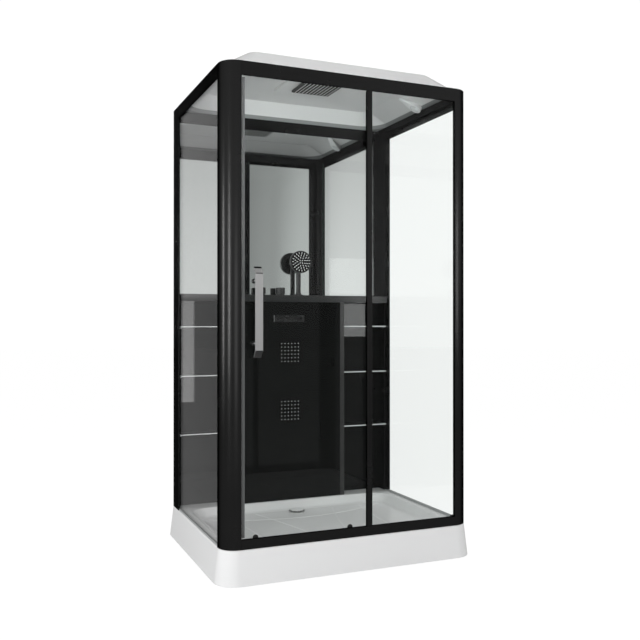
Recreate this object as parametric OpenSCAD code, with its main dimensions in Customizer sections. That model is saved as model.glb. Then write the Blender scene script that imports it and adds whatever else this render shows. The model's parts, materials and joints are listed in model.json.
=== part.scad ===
// Rectangular shower cabin with a sliding glass door, a mirrored rear wall,
// niches, body jets, a rain head and a moulded tray and roof.
// Origin: middle of the footprint on the floor, +X right, +Y to the rear wall, +Z up.

/* [Overall] */
// Width of the tray at the floor
cabin_w = 1200; // [1000:10:1500]
// Depth of the tray at the floor
cabin_d = 900; // [800:10:1100]
// Height of the black frame's top above the floor
frame_top = 2125; // [1900:1:2300]

/* [Tray] */
// Height of the tray's rim above the floor
tray_h = 147; // [140:1:200]
// How far the skirt leans out between the rim and the floor
flare = 17; // [5:1:30]
// Air gap under the skirt
skirt_gap = 4; // [2:1:8]
// Thickness of the tray's acrylic
tray_wall = 6; // [4:0.5:8]
// Radius of the lip between skirt and rim
lip_r = 8; // [5:0.5:12]
// Depth of the basin floor below the rim
basin_depth = 39; // [25:1:45]
// Horizontal run of the basin's slope
basin_slope = 40; // [30:1:60]
// Corner radius of the basin floor
basin_r = 55; // [20:1:80]
// Width of the rim at the front and the sides
rim_w = 50; // [44:1:70]
// Height of the raised lines on the basin floor
tile_line_h = 1; // [0.5:0.1:2]
// Width of the raised lines on the basin floor
tile_line_w = 6; // [3:0.5:10]
// Distance of the inner raised lines from the middle
tile_inner_x = 125; // [90:5:180]
// Distance of the outer raised lines from the middle
tile_outer_x = 325; // [240:5:360]
// Distance of the raised cross line behind the middle
tile_cross_y = 130; // [80:5:150]
// Radius of the bow of the raised cross line
tile_bow_r = 900; // [700:10:2000]

/* [Base frame and feet] */
// Side of the square steel tubes under the tray
tube_side = 25; // [20:1:28]
// Wall of the steel tubes
tube_wall = 1.5; // [1:0.5:3]
// Distance of the outer feet from the middle, across
foot_x = 420; // [350:5:460]
// Distance of the front feet in front of the middle
foot_front = 280; // [200:5:310]
// Distance of the rear feet behind the middle
foot_rear = 270; // [220:5:280]
// Radius of the threaded legs
leg_r = 6; // [5:0.5:8]
// Radius of the foot pads
pad_r = 30; // [22:1:40]
// Thickness of the foot pads
pad_h = 6; // [4:1:10]

/* [Drain] */
// Distance of the drain in front of the basin's rear edge
drain_back = 97; // [92:1:130]
// Radius of the drain hole
drain_r = 31; // [25:1:35]
// Radius of the lift-off drain cover
cover_r = 40; // [38:1:50]
// Radius of the outlet pipe
outlet_r = 20; // [16:1:25]
// Length of the bare outlet stub
outlet_l = 40; // [30:1:60]

/* [Aluminium frame] */
// Length of each leg of the front columns
column_leg = 80; // [76:1:110]
// Radius of the front columns' outer corner
column_r = 74; // [50:1:74]
// Depth of the front rails
rail_d = 40; // [40:1:48]
// Thickness of the side rails
side_t = 30; // [24:1:36]
// Height of the top rails
top_rail_h = 58; // [54:1:80]
// Height of the side rails' inner part above their outer lip
rail_rise = 26; // [20:1:28]
// Height of the bottom rail
bottom_rail_h = 40; // [36:1:60]
// Depth of the rear posts, front to back
post_d = 108; // [90:1:140]
// Thickness of the rear posts
post_t = 16; // [16:1:24]
// Depth of the rear posts' open front, where only their outer lip covers the glass
post_open = 37; // [20:1:45]
// Thickness of the rear frame's lip in front of the mirror
mirror_lip = 2; // [1.5:0.5:4]
// Wall of the aluminium profiles
alu_wall = 2; // [1.5:0.1:2.5]
// Width of the stile on the fixed glass
stile_w = 25; // [20:1:40]
// Distance of the stile's free edge from the middle
stile_x = 62; // [40:1:80]

/* [Glass] */
// Thickness of the glass
glass_t = 5; // [4:0.5:6]
// Depth of glass held in a channel
glass_bite = 8; // [6:0.5:9]
// Distance of glass from the frame's outer face
glass_inset = 7; // [6:0.5:8]
// Thickness of the rubber on each side of the glass in its channel
gasket_t = 1.5; // [1:0.25:2]

/* [Sliding door] */
// Distance of the door glass behind the frame's outer face
door_inset = 22; // [21:0.5:24]
// Width of the grey strip between the column and the door
seal_w = 12; // [8:1:20]
// Distance the door slides open
door_travel = 410; // [300:5:410]
// Distance of the leading rollers from the door's leading edge
roller_lead = 53; // [40:1:80]
// Distance between the leading and trailing rollers
roller_span = 426; // [300:5:440]
// Radius of the upper rollers
upper_wheel_r = 12; // [10:0.5:13]
// Radius of the lower rollers
lower_wheel_r = 11; // [8:0.5:12]
// Width of the rollers
wheel_w = 5; // [3:0.5:5]
// Radius of the roller pins
pin_r = 4; // [3:0.5:5]

/* [Handle] */
// Width of the handle's flat bar
bar_w = 32; // [20:1:40]
// Thickness of the handle's flat bar
bar_t = 6; // [4:0.5:10]
// Height of the handle's straight front
bar_h = 314; // [200:2:500]
// Height of the handle's middle above the floor
bar_z = 1107; // [950:1:1200]
// Distance of the bar's front from the door glass
bar_reach = 59; // [45:1:70]
// Height of each bent end of the bar
bar_bend_h = 28; // [15:1:40]
// How far the bar's ends go back towards the glass
bar_bend_d = 23; // [10:1:30]
// Distance of the handle's middle from the door's leading edge
bar_from_edge = 50; // [35:1:80]
// Distance between the handle's posts
post_pitch = 256; // [150:2:300]

/* [Rear wall] */
// Distance of the mirror behind the middle, from the tray's rear edge
mirror_back = 8; // [6:0.5:10]
// Thickness of the mirror and the niche panels
panel_t = 4; // [3:0.5:5]
// Top of the ledge above the floor
ledge_top = 1207; // [1100:1:1300]
// Height of the ledge
ledge_h = 35; // [30:1:50]
// Depth of the ledge
ledge_d = 95; // [92:1:105]
// Width of the centre panel
centre_w = 628; // [500:2:760]
// Depth of the niches beside the centre panel
niche_d = 87; // [80:1:90]
// Thickness of the centre panel
centre_t = 5; // [4:0.5:8]
// Width of the trim strips at the centre panel's edges
trim_w = 24; // [15:1:40]
// Thickness of the trim strips
trim_t = 2; // [1:0.5:3]
// Thickness of the glass shelves
shelf_t = 6; // [4:0.5:10]
// Distance of the shelves' front edge behind the centre panel's face
shelf_set_back = 2; // [1:0.5:10]
// Height of the lowest shelf above the floor
shelf_low = 511; // [400:1:600]
// Height of the middle shelf above the floor
shelf_mid = 800; // [700:1:900]
// Height of the highest shelf above the floor
shelf_high = 1044; // [950:1:1055]

/* [Water fittings] */
// Distance of the temperature knob left of the middle
knob_x_left = 140; // [115:1:150]
// Distance of the selector knob left of the middle
knob_x_right = 33; // [25:1:40]
// Radius of the knobs
knob_r = 25; // [18:1:30]
// Height of the knobs
knob_h = 39; // [25:1:50]
// Distance of the hand shower's socket right of the middle
socket_x = 69; // [55:1:110]
// Distance of the knobs and the socket in front of the mirror
fitting_gap = 43; // [38:1:50]
// Distance from the ledge up to the middle of the shower head
shower_l = 175; // [150:1:260]
// Distance of the shower head's middle in front of its handle
head_forward = 30; // [26:1:40]
// Radius of the hand shower's head
head_r = 58; // [40:1:65]
// Thickness of the hand shower's head
head_t = 18; // [14:1:26]
// Radius of the hand shower's handle
grip_r = 12.5; // [10:0.5:15]
// Radius of a half-inch pipe thread
pipe_r = 10.48; // [8.3:0.01:13.2]
// Distance between the hot and the cold inlet
inlet_pitch = 150; // [120:1:160]
// Side of the square body jets
jet_side = 140; // [120:1:180]
// Distance of the jets right of the middle
jet_x = 3; // [-20:1:20]
// Distance of the upper jet's middle below the ledge
jet_drop = 262; // [230:1:320]
// Distance between the middles of the jets
jet_gap = 300; // [200:1:320]
// Spacing of the nozzles in the jets
nozzle_pitch = 18.5; // [16:0.5:22]
// Number of nozzles along each side of a jet
nozzle_n = 6; // [4:2:6]
// Radius of the jets' nozzles
nozzle_r = 2.5; // [2:0.5:4]
// Width of the spout's frame
spout_w = 166; // [120:2:220]
// Height of the spout's frame
spout_h = 34; // [26:1:50]
// Distance of the spout's middle below the ledge
spout_drop = 87; // [60:1:95]

/* [Roof] */
// Height of the roof above the frame
roof_h = 78; // [60:1:120]
// Thickness of the roof
roof_wall = 7; // [4:0.5:8]
// Horizontal run of the roof's side slopes
side_run = 139; // [100:1:150]
// Horizontal run of the roof's front and rear slopes
front_run = 97; // [80:1:120]
// Corner radius of the roof's foot
roof_r = 150; // [145:1:180]
// Corner radius of the roof's flat top
roof_top_r = 45; // [30:1:60]
// Distance of the roof's foot from the frame's outer face
roof_inset = 6; // [4:1:10]
// Width of the lowered square in the ceiling
pan_w = 325; // [260:5:400]
// Depth of the lowered square in the ceiling
pan_drop = 10; // [5:1:14]
// Distance of the rain head in front of the middle
rain_front = 25; // [0:5:80]
// Side of the square rain head
rain_side = 190; // [150:5:240]
// Thickness of the rain head
rain_t = 10; // [8:0.5:20]
// Number of nozzles along each side of the rain head
rain_n = 10; // [6:2:12]
// Radius of the ceiling lamp's lens
lens_r = 24; // [20:1:28]
// Distance of the lamp from the frame's right face
lamp_from_side = 56; // [56:1:75]
// Distance of the lamp in front of the middle
lamp_front = 43; // [0:1:100]
// Depth of the lamp below the slope
lamp_drop = 20; // [16:1:26]

/* [Hidden] */

$fn = 64;
// Gap between parts that move past each other
run_gap = 0.3;
// Gap between a pin and the bore that turns on it
bore_gap = 0.05;
// Overlap that joins shapes inside one piece, or cuts clean through a face
over = 1;

// Frame planes
frame_x = cabin_w / 2 - flare;
front_y = -cabin_d / 2 + flare;
rear_y = cabin_d / 2;
mirror_y = rear_y - mirror_back;
wall_y = mirror_y - niche_d;
rail_under = frame_top - top_rail_h;
rail_inner = rail_under + rail_rise;
rail_y = mirror_y - mirror_lip;
post_x = frame_x - post_t;
post_y = rear_y - post_d;
column_x = frame_x - column_leg;
column_y = front_y + column_leg;

// Tray
basin_z = tray_h - basin_depth;
tray_under = basin_z - tray_wall;
basin_x = frame_x - rim_w;
basin_front = front_y + rim_w;
basin_rear = post_y;
basin_l = basin_rear - basin_front;
basin_mid = (basin_rear + basin_front) / 2;
drain_y = basin_rear - drain_back;
// Outward shift that keeps the sloping basin wall as thick as the rest
wall_shift = tray_wall * 0.42;
rear_return = 40;

// Base frame
tube_z = tray_under - tube_side;
nut_h = 8;
nut_r = 10;
pad_boss_h = 10;
pad_boss_r = 14;
leg_seat = 4;
beam_rear = 150;
feet = [[-foot_x, -foot_front], [foot_x, -foot_front], [-foot_x, foot_rear], [foot_x, foot_rear], [0, 0]];

// Drain
flange_t = 2.5;
trap_r = 42;
trap_low = 26;
trap_nut_h = 10;
trap_wall = 6;
trap_bore_r = drain_r - 5.3;
pipe_wall = 3;
outlet_z = trap_low + outlet_r + 4;
cover_lift = 5;
cover_t = 6;

// Glass channels
slot_w = glass_t + 2 * gasket_t;
slot_in = glass_inset - gasket_t;
fixed_y = front_y + glass_inset;
door_y = front_y + door_inset;
fixed_web = fixed_y + glass_t + 2 * gasket_t;
web_t = 2;
// Free room behind the glass in its channel
slot_slack = 4;

// Door
column_web = 16;
door_lead = -column_x + seal_w;
door_trail = stile_x + stile_w - 3;
door_gap = 23;
door_low = tray_h + door_gap;
upper_track_rise = 13;
wheel_spacer = 2.4;
wheel_y = door_y + glass_t + wheel_spacer + run_gap;
track_t = wheel_w - 2 * run_gap;
track_y = wheel_y + run_gap;
upper_track_z = rail_under + upper_track_rise;
upper_wheel_z = upper_track_z + run_gap + upper_wheel_r;
lower_wheel_z = tray_h + bottom_rail_h + run_gap;
lower_track_z = lower_wheel_z - lower_wheel_r - run_gap;
door_high = upper_wheel_z + upper_wheel_r + 3;
hole_gap = 0.3;
cap_t = 4;
sleeve_r = pin_r + 0.7;
roller_xs = [door_lead + roller_lead, door_lead + roller_lead + roller_span];
strip_low = tray_h + bottom_rail_h + 3;
strip_high = rail_under - 2;

// Handle
bar_x = door_lead + bar_from_edge;
bar_front = door_y - bar_reach;
bar_back = bar_front + bar_t;
handle_zs = [bar_z - post_pitch / 2, bar_z + post_pitch / 2];
handle_post_r = 7;

// Rear wall
ledge_low = ledge_top - ledge_h;
ledge_y = mirror_y - ledge_d;
ledge_wall = 2.5;
centre_x = centre_w / 2;
mirror_low = ledge_top - ledge_h / 2 + 0.5;
shelf_zs = [shelf_low, shelf_mid, shelf_high];
spout_z = ledge_low - spout_drop;
spout_edge = 8;

// Water fittings
fitting_y = mirror_y - fitting_gap;
mixer_drop = 87;
mixer_z = ledge_low - mixer_drop;
mixer_r = 20;
mixer_end = 34;
cartridge_r = 23;
hose_stub_r = 7;
hose_stub_l = 22;
hose_stub_pitch = 36;
spindle_r = 5;
spindle_bite = 32;
spindle_low = ledge_low - spindle_bite;
knob_top_t = 8;
spindle_high = ledge_top + knob_h - knob_top_t;
inlet_end = rear_y - 2;
inlet_x = -(knob_x_left + knob_x_right) / 2;
thread_l = 20;
shoulder = 3.5;
socket_wall = 5;
cone_l = 30;
cone_r = 10.5;
jet_high = ledge_low - jet_drop;
jet_low = jet_high - jet_gap;
jet_zs = [jet_low, jet_high];
jet_t = 5;
jet_rim = 8;
mat_t = 2.2;
jet_stem_r = 24;
post_r = 5;

// Roof
roof_top = frame_top + roof_h;
roof_w = 2 * (frame_x - roof_inset);
roof_l = rear_y - front_y - 2 * roof_inset;
roof_mid = (rear_y + front_y) / 2;
// The wall's thickness measured across, on the side slopes and on the front and rear slopes
skin = [roof_wall / sin(atan(roof_h / side_run)), roof_wall / sin(atan(roof_h / front_run))];
ceiling_z = roof_top - roof_wall;
pan_z = ceiling_z - pan_drop;
flange_h = 3;
rain_neck_h = 3;
rain_mat_t = 2;
rain_low = pan_z - rain_neck_h - rain_t;
rain_neck_r = pipe_r + 1.5;
lamp_x = frame_x - lamp_from_side;
slope_z = frame_top + (roof_w / 2 - skin.x - lamp_x) * roof_h / side_run;
slope_angle = atan(roof_h / side_run);
lens_seat = 8;

// A block between two corners
module block(low, high) {
    translate(low) cube(high - low);
}

// A rounded rectangle whose four sides lean in by the same amount over its height
module leaning_block(w, l, h, r, inset) {
    cx = w / 2 - r;
    cy = l / 2 - r;
    rotate([90, 0, 0]) translate([0, 0, -cy]) linear_extrude(2 * cy)
        polygon([[-w / 2, 0], [w / 2, 0], [w / 2 - inset, h], [inset - w / 2, h]]);
    rotate([90, 0, 90]) translate([0, 0, -cx]) linear_extrude(2 * cx)
        polygon([[-l / 2, 0], [l / 2, 0], [l / 2 - inset, h], [inset - l / 2, h]]);
    for (x = [-cx, cx], y = [-cy, cy]) translate([x, y, 0]) cylinder(r1 = r, r2 = r - inset, h = h);
}

// The frame's plan with rounded front corners, drawn in by an inset
module frame_plan(inset) {
    r = column_r - inset;
    w = frame_x - inset;
    translate([-w, front_y + column_r]) square([2 * w, rear_y - front_y - column_r - inset]);
    translate([column_r - frame_x, front_y + inset]) square([2 * (frame_x - column_r), column_r]);
    for (s = [-1, 1]) translate([s * (frame_x - column_r), front_y + column_r]) circle(r);
}

// Section of the skirt: distance out from the frame's plane, and height
module skirt_section() {
    c = [1 - lip_r, tray_h - lip_r];
    steps = 6;
    polygon(concat(
        [[flare, skirt_gap]],
        [for (i = [0:steps]) c + lip_r * [cos(90 * i / steps), sin(90 * i / steps)]],
        [[-lip_r * 2, tray_h], [-lip_r * 2, tray_h - tray_wall], c + [0, lip_r - tray_wall]],
        [c + [lip_r - tray_wall, 0], [flare - tray_wall, skirt_gap]]
    ));
}

module skirt() {
    side_l = rear_y - front_y - column_r;
    front_l = 2 * (frame_x - column_r);
    for (s = [0, 1]) mirror([s, 0, 0]) {
        translate([frame_x, rear_y, 0]) rotate([90, 0, 0]) linear_extrude(side_l) skirt_section();
        translate([frame_x - column_r, front_y + column_r, 0]) rotate([0, 0, -90])
            rotate_extrude(angle = 90) translate([column_r, 0]) skirt_section();
    }
    translate([-front_l / 2, front_y, 0]) rotate([90, 0, 90]) linear_extrude(front_l)
        mirror([1, 0]) skirt_section();
}

// Gently bowed raised lines on the basin floor: one across, and two that fan out on each side
module tile_lines() {
    w = basin_x - basin_slope - basin_r / 2;
    l = basin_l / 2 - basin_slope - basin_r / 2;
    fan_r = 3200;
    fan = [[tile_inner_x, 14], [tile_outer_x, 4]];
    difference() {
        intersection() {
            union() {
                translate([0, tile_cross_y + tile_bow_r, 0]) bow_line(tile_bow_r);
                for (s = [0, 1], line = fan) mirror([s, 0, 0])
                    translate([line[0] + fan_r * cos(line[1]), -fan_r * sin(line[1]), 0]) bow_line(fan_r);
            }
            translate([-w, basin_mid - l, 0]) cube([2 * w, 2 * l, tile_line_h]);
        }
        translate([0, drain_y, -over]) cylinder(r = cover_r + 2, h = tile_line_h + 2 * over);
    }
}

module bow_line(r) {
    difference() {
        translate([0, 0, -over]) cylinder(r = r + tile_line_w / 2, h = tile_line_h + over, $fn = 360);
        translate([0, 0, -2 * over])
            cylinder(r = r - tile_line_w / 2, h = tile_line_h + 4 * over, $fn = 360);
    }
}

module tray_shell() {
    w = 2 * (basin_x - basin_slope);
    l = basin_l - 2 * basin_slope;
    color("white") difference() {
        union() {
            skirt();
            translate([0, 0, tray_h - tray_wall]) linear_extrude(tray_wall) frame_plan(lip_r);
            block([-frame_x, rear_y - tray_wall, tray_h - rear_return], [frame_x, rear_y, tray_h]);
            translate([0, basin_mid, tray_under])
                leaning_block(w + 2 * wall_shift, l + 2 * wall_shift, basin_depth,
                    basin_r + wall_shift, -basin_slope);
        }
        difference() {
            translate([0, basin_mid, basin_z])
                leaning_block(w, l, basin_depth + 0.01, basin_r, -basin_slope);
            translate([0, 0, basin_z]) tile_lines();
        }
        translate([0, drain_y, 0]) cylinder(r = drain_r, h = tray_h);
    }
}

module tube_x(x0, x1, y, gap) {
    block([x0 + gap, y - tube_side / 2 + gap, tube_z + gap],
        [x1 - gap, y + tube_side / 2 - gap, tray_under - gap]);
}

module tube_y(x, y0, y1, gap) {
    block([x - tube_side / 2 + gap, y0 + gap, tube_z + gap],
        [x + tube_side / 2 - gap, y1 - gap, tray_under - gap]);
}

module tubes(gap) {
    end = tube_side;
    for (y = [-foot_front, beam_rear]) tube_x(-foot_x - end, foot_x + end, y, gap);
    for (x = [-foot_x, foot_x]) tube_y(x, -foot_front - end, foot_rear + end, gap);
    tube_y(0, -foot_front - tube_side / 2, beam_rear + tube_side / 2, gap);
}

module tray_frame() {
    color("lightgray") difference() {
        tubes(0);
        tubes(tube_wall);
        for (p = feet) translate([p.x, p.y, tube_z - over])
            cylinder(r = leg_r + hole_gap, h = tube_side / 2);
    }
}

module foot_bolts() {
    color("silver") for (p = feet) translate([p.x, p.y, 0]) {
        translate([0, 0, leg_seat]) cylinder(r = leg_r, h = tube_z + tube_side / 2 - leg_seat);
        translate([0, 0, tube_z - nut_h]) cylinder(r = nut_r, h = nut_h, $fn = 6);
    }
}

module foot_pads() {
    color("dimgray") for (p = feet) translate([p.x, p.y, 0]) difference() {
        union() {
            cylinder(r = pad_r, h = pad_h);
            cylinder(r = pad_boss_r, h = pad_h + pad_boss_h);
        }
        translate([0, 0, leg_seat]) cylinder(r = leg_r + hole_gap, h = pad_h + pad_boss_h);
    }
}

module drain_trap() {
    neck_r = drain_r - hole_gap;
    socket_r = outlet_r + trap_wall;
    outlet_end = rear_y - 6;
    color("gainsboro") translate([0, drain_y, 0]) difference() {
        union() {
            translate([0, 0, trap_low]) cylinder(r = neck_r, h = basin_z - trap_low + flange_t);
            translate([0, 0, basin_z]) cylinder(r = cover_r, h = flange_t);
            translate([0, 0, trap_low]) cylinder(r = trap_r, h = tray_under - trap_nut_h - trap_low);
            translate([0, 0, tray_under - trap_nut_h])
                cylinder(r = trap_r + trap_wall, h = trap_nut_h, $fn = 12);
            translate([0, 0, outlet_z]) rotate([-90, 0, 0])
                cylinder(r = outlet_r, h = outlet_end - drain_y);
            translate([0, 0, outlet_z]) rotate([-90, 0, 0])
                cylinder(r = socket_r, h = outlet_end - drain_y - outlet_l);
        }
        translate([0, 0, trap_low + trap_wall]) cylinder(r = trap_bore_r, h = tray_h);
        translate([0, 0, outlet_z]) rotate([-90, 0, 0])
            cylinder(r = outlet_r - pipe_wall, h = outlet_end - drain_y + over);
    }
}

module drain_cover() {
    stem_r = trap_bore_r - 1.5;
    stem_l = 14;
    leg_inset = 8;
    stem_wall = 3;
    z = basin_z + flange_t;
    color("silver") translate([0, drain_y, 0]) difference() {
        union() {
            translate([0, 0, z + cover_lift]) cylinder(r1 = cover_r, r2 = cover_r - leg_inset, h = cover_t);
            for (a = [0:90:270]) rotate([0, 0, a])
                translate([cover_r - leg_inset, 0, z]) cylinder(r = stem_wall, h = cover_lift + over);
            translate([0, 0, z - stem_l]) cylinder(r = stem_r, h = stem_l + cover_lift + over);
        }
        translate([0, 0, z - stem_l - over]) cylinder(r = stem_r - stem_wall, h = stem_l + cover_lift);
    }
}

// Plan of the left front column, drawn in by a wall on every face
module column_plan(wall) {
    r = column_r - wall;
    span = column_leg - wall;
    translate([-frame_x, front_y]) difference() {
        intersection() {
            translate([wall, wall]) square(span - wall);
            union() {
                translate([column_r, column_r]) circle(r);
                translate([column_r, wall]) square(column_leg);
                translate([wall, column_r]) square(column_leg);
            }
        }
        polygon([
            [column_leg + over, rail_d - wall],
            [side_t + column_web, rail_d - wall],
            [side_t - wall, rail_d + column_web],
            [side_t - wall, column_leg + over],
            [column_leg + over, column_leg + over]
        ]);
    }
}

// A front column with a closed chamber and a channel for the glass in each leg that holds some.
// A leg that holds the fixed glass is only as deep as its channel between the rails.
module column(side_slot, front_slot) {
    deep = glass_bite + slot_slack;
    reach = column_leg - deep - 2 * alu_wall;
    wall = alu_wall * 1.2;
    leg_d = fixed_web + web_t - front_y;
    color([0.14, 0.14, 0.14]) difference() {
        translate([0, 0, tray_h]) linear_extrude(frame_top - tray_h) difference() {
            column_plan(0);
            intersection() {
                column_plan(wall);
                translate([-frame_x, front_y]) {
                    square([front_slot ? side_t : reach, reach]);
                    square([reach, front_slot ? leg_d - wall : reach]);
                }
            }
            if (side_slot) translate([slot_in - frame_x, column_y - deep]) square([slot_w, column_leg]);
            if (front_slot) translate([-column_x - deep, front_y + slot_in]) square([column_leg, slot_w]);
        }
        if (front_slot) block([side_t - frame_x, front_y + leg_d, tray_h + bottom_rail_h],
            [over - column_x, front_y + rail_d + column_web, rail_under]);
    }
}

module front_column_left() {
    column(true, false);
}

module front_column_right() {
    mirror([1, 0, 0]) column(true, true);
}

// Section of the top track, front to back and up
module top_track_section() {
    y1 = front_y + rail_d;
    face_t = alu_wall * 1.5;
    ledge_t = 3;
    web_rise = 5;
    upright = track_y + track_t;
    translate([front_y, frame_top - 2 * alu_wall]) square([rail_d, 2 * alu_wall]);
    translate([front_y, rail_under]) square([face_t, top_rail_h]);
    translate([fixed_web, rail_under + web_rise]) square([web_t, top_rail_h - web_rise]);
    translate([front_y, rail_under + glass_bite + 8]) square([fixed_web - front_y + web_t, alu_wall]);
    translate([y1 - alu_wall, upper_track_z - ledge_t]) square([alu_wall, frame_top - upper_track_z + ledge_t]);
    difference() {
        translate([track_y, upper_track_z - ledge_t]) square([y1 - track_y, ledge_t]);
        translate([upright, upper_track_z - over]) square([y1 - alu_wall - upright, 2 * over]);
    }
}

module front_top_rail() {
    color([0.14, 0.14, 0.14]) translate([-column_x, 0, 0]) rotate([90, 0, 90])
        linear_extrude(2 * column_x) top_track_section();
}

// Section of the bottom track
module bottom_track_section() {
    y1 = front_y + rail_d;
    deep = glass_bite + slot_slack + 2;
    base = 3;
    lip_h = 14;
    difference() {
        translate([front_y, tray_h]) square([fixed_web + web_t - front_y, bottom_rail_h]);
        translate([front_y + slot_in, tray_h + bottom_rail_h - deep]) square([slot_w, bottom_rail_h]);
        translate([front_y + alu_wall, tray_h + base])
            square([fixed_web + web_t - front_y - 2 * alu_wall, bottom_rail_h - deep - base - alu_wall]);
    }
    translate([front_y, tray_h]) square([rail_d, base]);
    translate([track_y, tray_h]) square([track_t, lower_track_z - tray_h]);
    translate([y1 - alu_wall, tray_h]) square([alu_wall, lip_h]);
}

module front_bottom_rail() {
    color([0.14, 0.14, 0.14]) translate([-column_x, 0, 0]) rotate([90, 0, 90])
        linear_extrude(2 * column_x) bottom_track_section();
}

screw_inset = 14;
screw_y = [column_y + screw_inset, rail_y - screw_inset];
screw_x = [side_t - frame_x + screw_inset, frame_x - side_t - screw_inset];
screw_z = frame_top - 10;
screw_r = 2;
screw_l = 5;

// Screw places on the inner faces of the upper frame, +Z out of the face
module screw_places() {
    for (y = screw_y, s = [0, 1]) mirror([s, 0, 0])
        translate([side_t - frame_x, y, screw_z]) rotate([0, 90, 0]) children();
    for (x = screw_x) translate([x, rail_y, screw_z]) rotate([90, 0, 0]) children();
}

module frame_screws() {
    color("dimgray") screw_places() {
        cylinder(r = 4.5, h = 2.5);
        translate([0, 0, -screw_l]) cylinder(r = screw_r, h = screw_l);
    }
}

module screw_holes() {
    screw_places() translate([0, 0, -screw_l - 2]) cylinder(r = screw_r + hole_gap, h = screw_l + 2 + over);
}

module side_top_rail() {
    slot_h = glass_bite + slot_slack;
    slot_end = post_y + post_open + glass_bite + 2;
    color([0.14, 0.14, 0.14]) difference() {
        union() {
            block([-frame_x, column_y, rail_under], [slot_in - frame_x, post_y, frame_top]);
            block([-frame_x, column_y, rail_inner], [side_t - frame_x, post_y, frame_top]);
            block([slot_in - frame_x, post_y - over, rail_inner], [side_t - frame_x, rail_y, frame_top]);
        }
        block([slot_in - frame_x, column_y - over, rail_inner - over],
            [slot_in + slot_w - frame_x, slot_end, rail_inner + slot_h]);
        block([slot_in + alu_wall - frame_x, column_y - over, rail_inner + slot_h + alu_wall],
            [side_t - alu_wall - frame_x, rail_y - alu_wall, frame_top - alu_wall]);
        screw_holes();
    }
}

module side_top_rail_left() {
    side_top_rail();
}

module side_top_rail_right() {
    mirror([1, 0, 0]) side_top_rail();
}

module rear_top_rail() {
    bite = 10;
    color([0.14, 0.14, 0.14]) difference() {
        block([-post_x, rail_y, rail_under], [post_x, rear_y, frame_top]);
        block([-post_x - over, mirror_y - hole_gap, rail_under - over],
            [post_x + over, mirror_y + panel_t + hole_gap, rail_under + bite]);
        block([-post_x - over, rail_y + alu_wall, rail_under + bite + alu_wall],
            [post_x + over, rear_y - alu_wall, frame_top - alu_wall]);
        screw_holes();
    }
}

// A rear post: an outer lip, a part behind it that holds the glass, and a groove for the mirror
module rear_post() {
    bite = glass_bite + 2;
    inner_y = post_y + post_open;
    color([0.14, 0.14, 0.14]) difference() {
        union() {
            block([-frame_x, post_y, tray_h], [slot_in - frame_x, rear_y, frame_top]);
            block([-frame_x, inner_y, tray_h], [-post_x, rail_y + over, rail_inner]);
            block([-frame_x, rail_y, tray_h], [-post_x, rear_y, frame_top]);
        }
        block([slot_in - frame_x, post_y - over, tray_h - over],
            [slot_in + slot_w - frame_x, inner_y + bite, rail_inner + over]);
        block([-post_x - bite, mirror_y - hole_gap, tray_h - over],
            [over - post_x, mirror_y + panel_t + hole_gap, rail_under + bite]);
        block([alu_wall - frame_x, inner_y + bite + alu_wall, tray_h - over],
            [-post_x - alu_wall, rail_y - alu_wall, rail_inner - alu_wall]);
    }
}

module rear_post_left() {
    rear_post();
}

module rear_post_right() {
    mirror([1, 0, 0]) rear_post();
}

seal_h = 9;
seal_base = 3;

module side_glass() {
    x = glass_inset - frame_x;
    color([0.75, 0.9, 0.85, 0.35])
        block([x, column_y - glass_bite, tray_h + seal_base],
            [x + glass_t, post_y + post_open + glass_bite, rail_inner + glass_bite]);
}

module side_glass_left() {
    side_glass();
}

module side_glass_right() {
    mirror([1, 0, 0]) side_glass();
}

module side_seals() {
    x = glass_inset - frame_x;
    lip_t = 3;
    color("gray") for (s = [0, 1]) mirror([s, 0, 0]) difference() {
        block([x - lip_t, column_y, tray_h], [x + glass_t + lip_t, post_y, tray_h + seal_h]);
        block([x - hole_gap, column_y - over, tray_h + seal_base],
            [x + glass_t + hole_gap, post_y + over, tray_h + seal_h + over]);
    }
}

stile_bite = 11;
strip_lip = 2;

module fixed_glass() {
    color([0.75, 0.9, 0.85, 0.35])
        block([stile_x + stile_w - stile_bite, fixed_y, tray_h + bottom_rail_h - glass_bite - slot_slack],
            [column_x + glass_bite, fixed_y + glass_t, rail_under + glass_bite + slot_slack + 3]);
}

module fixed_stile() {
    y0 = front_y + alu_wall;
    color([0.14, 0.14, 0.14]) difference() {
        block([stile_x, y0, tray_h + bottom_rail_h], [stile_x + stile_w, fixed_web + web_t, rail_under]);
        block([stile_x + stile_w - stile_bite - 1, fixed_y - hole_gap, tray_h],
            [stile_x + stile_w + over, fixed_y + glass_t + hole_gap, frame_top]);
    }
}

module column_seal() {
    color("lightgray") block([-column_x, door_y - strip_lip, strip_low],
        [-column_x + seal_w / 2 - run_gap / 2, door_y + glass_t + strip_lip, strip_high]);
}

// Seal on the door's leading edge, with a lip on each side of the glass
module door_edge_seal() {
    lip_w = 7;
    color("lightgray") difference() {
        block([-column_x + seal_w / 2 + run_gap / 2, door_y - strip_lip, strip_low],
            [door_lead + lip_w, door_y + glass_t + strip_lip, strip_high]);
        block([door_lead, door_y, strip_low - over], [door_lead + 2 * lip_w, door_y + glass_t, strip_high + over]);
    }
}

module door_wiper() {
    color([0.14, 0.14, 0.14]) block([door_trail, fixed_web + web_t + run_gap, strip_low],
        [door_trail + 2 * strip_lip, door_y + glass_t + strip_lip, strip_high]);
}

module door_glass() {
    color([0.75, 0.9, 0.85, 0.35]) difference() {
        block([door_lead, door_y, door_low], [door_trail, door_y + glass_t, door_high]);
        for (x = roller_xs, z = [lower_wheel_z, upper_wheel_z]) glass_hole(x, z);
        for (z = handle_zs) glass_hole(bar_x, z);
    }
}

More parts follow.
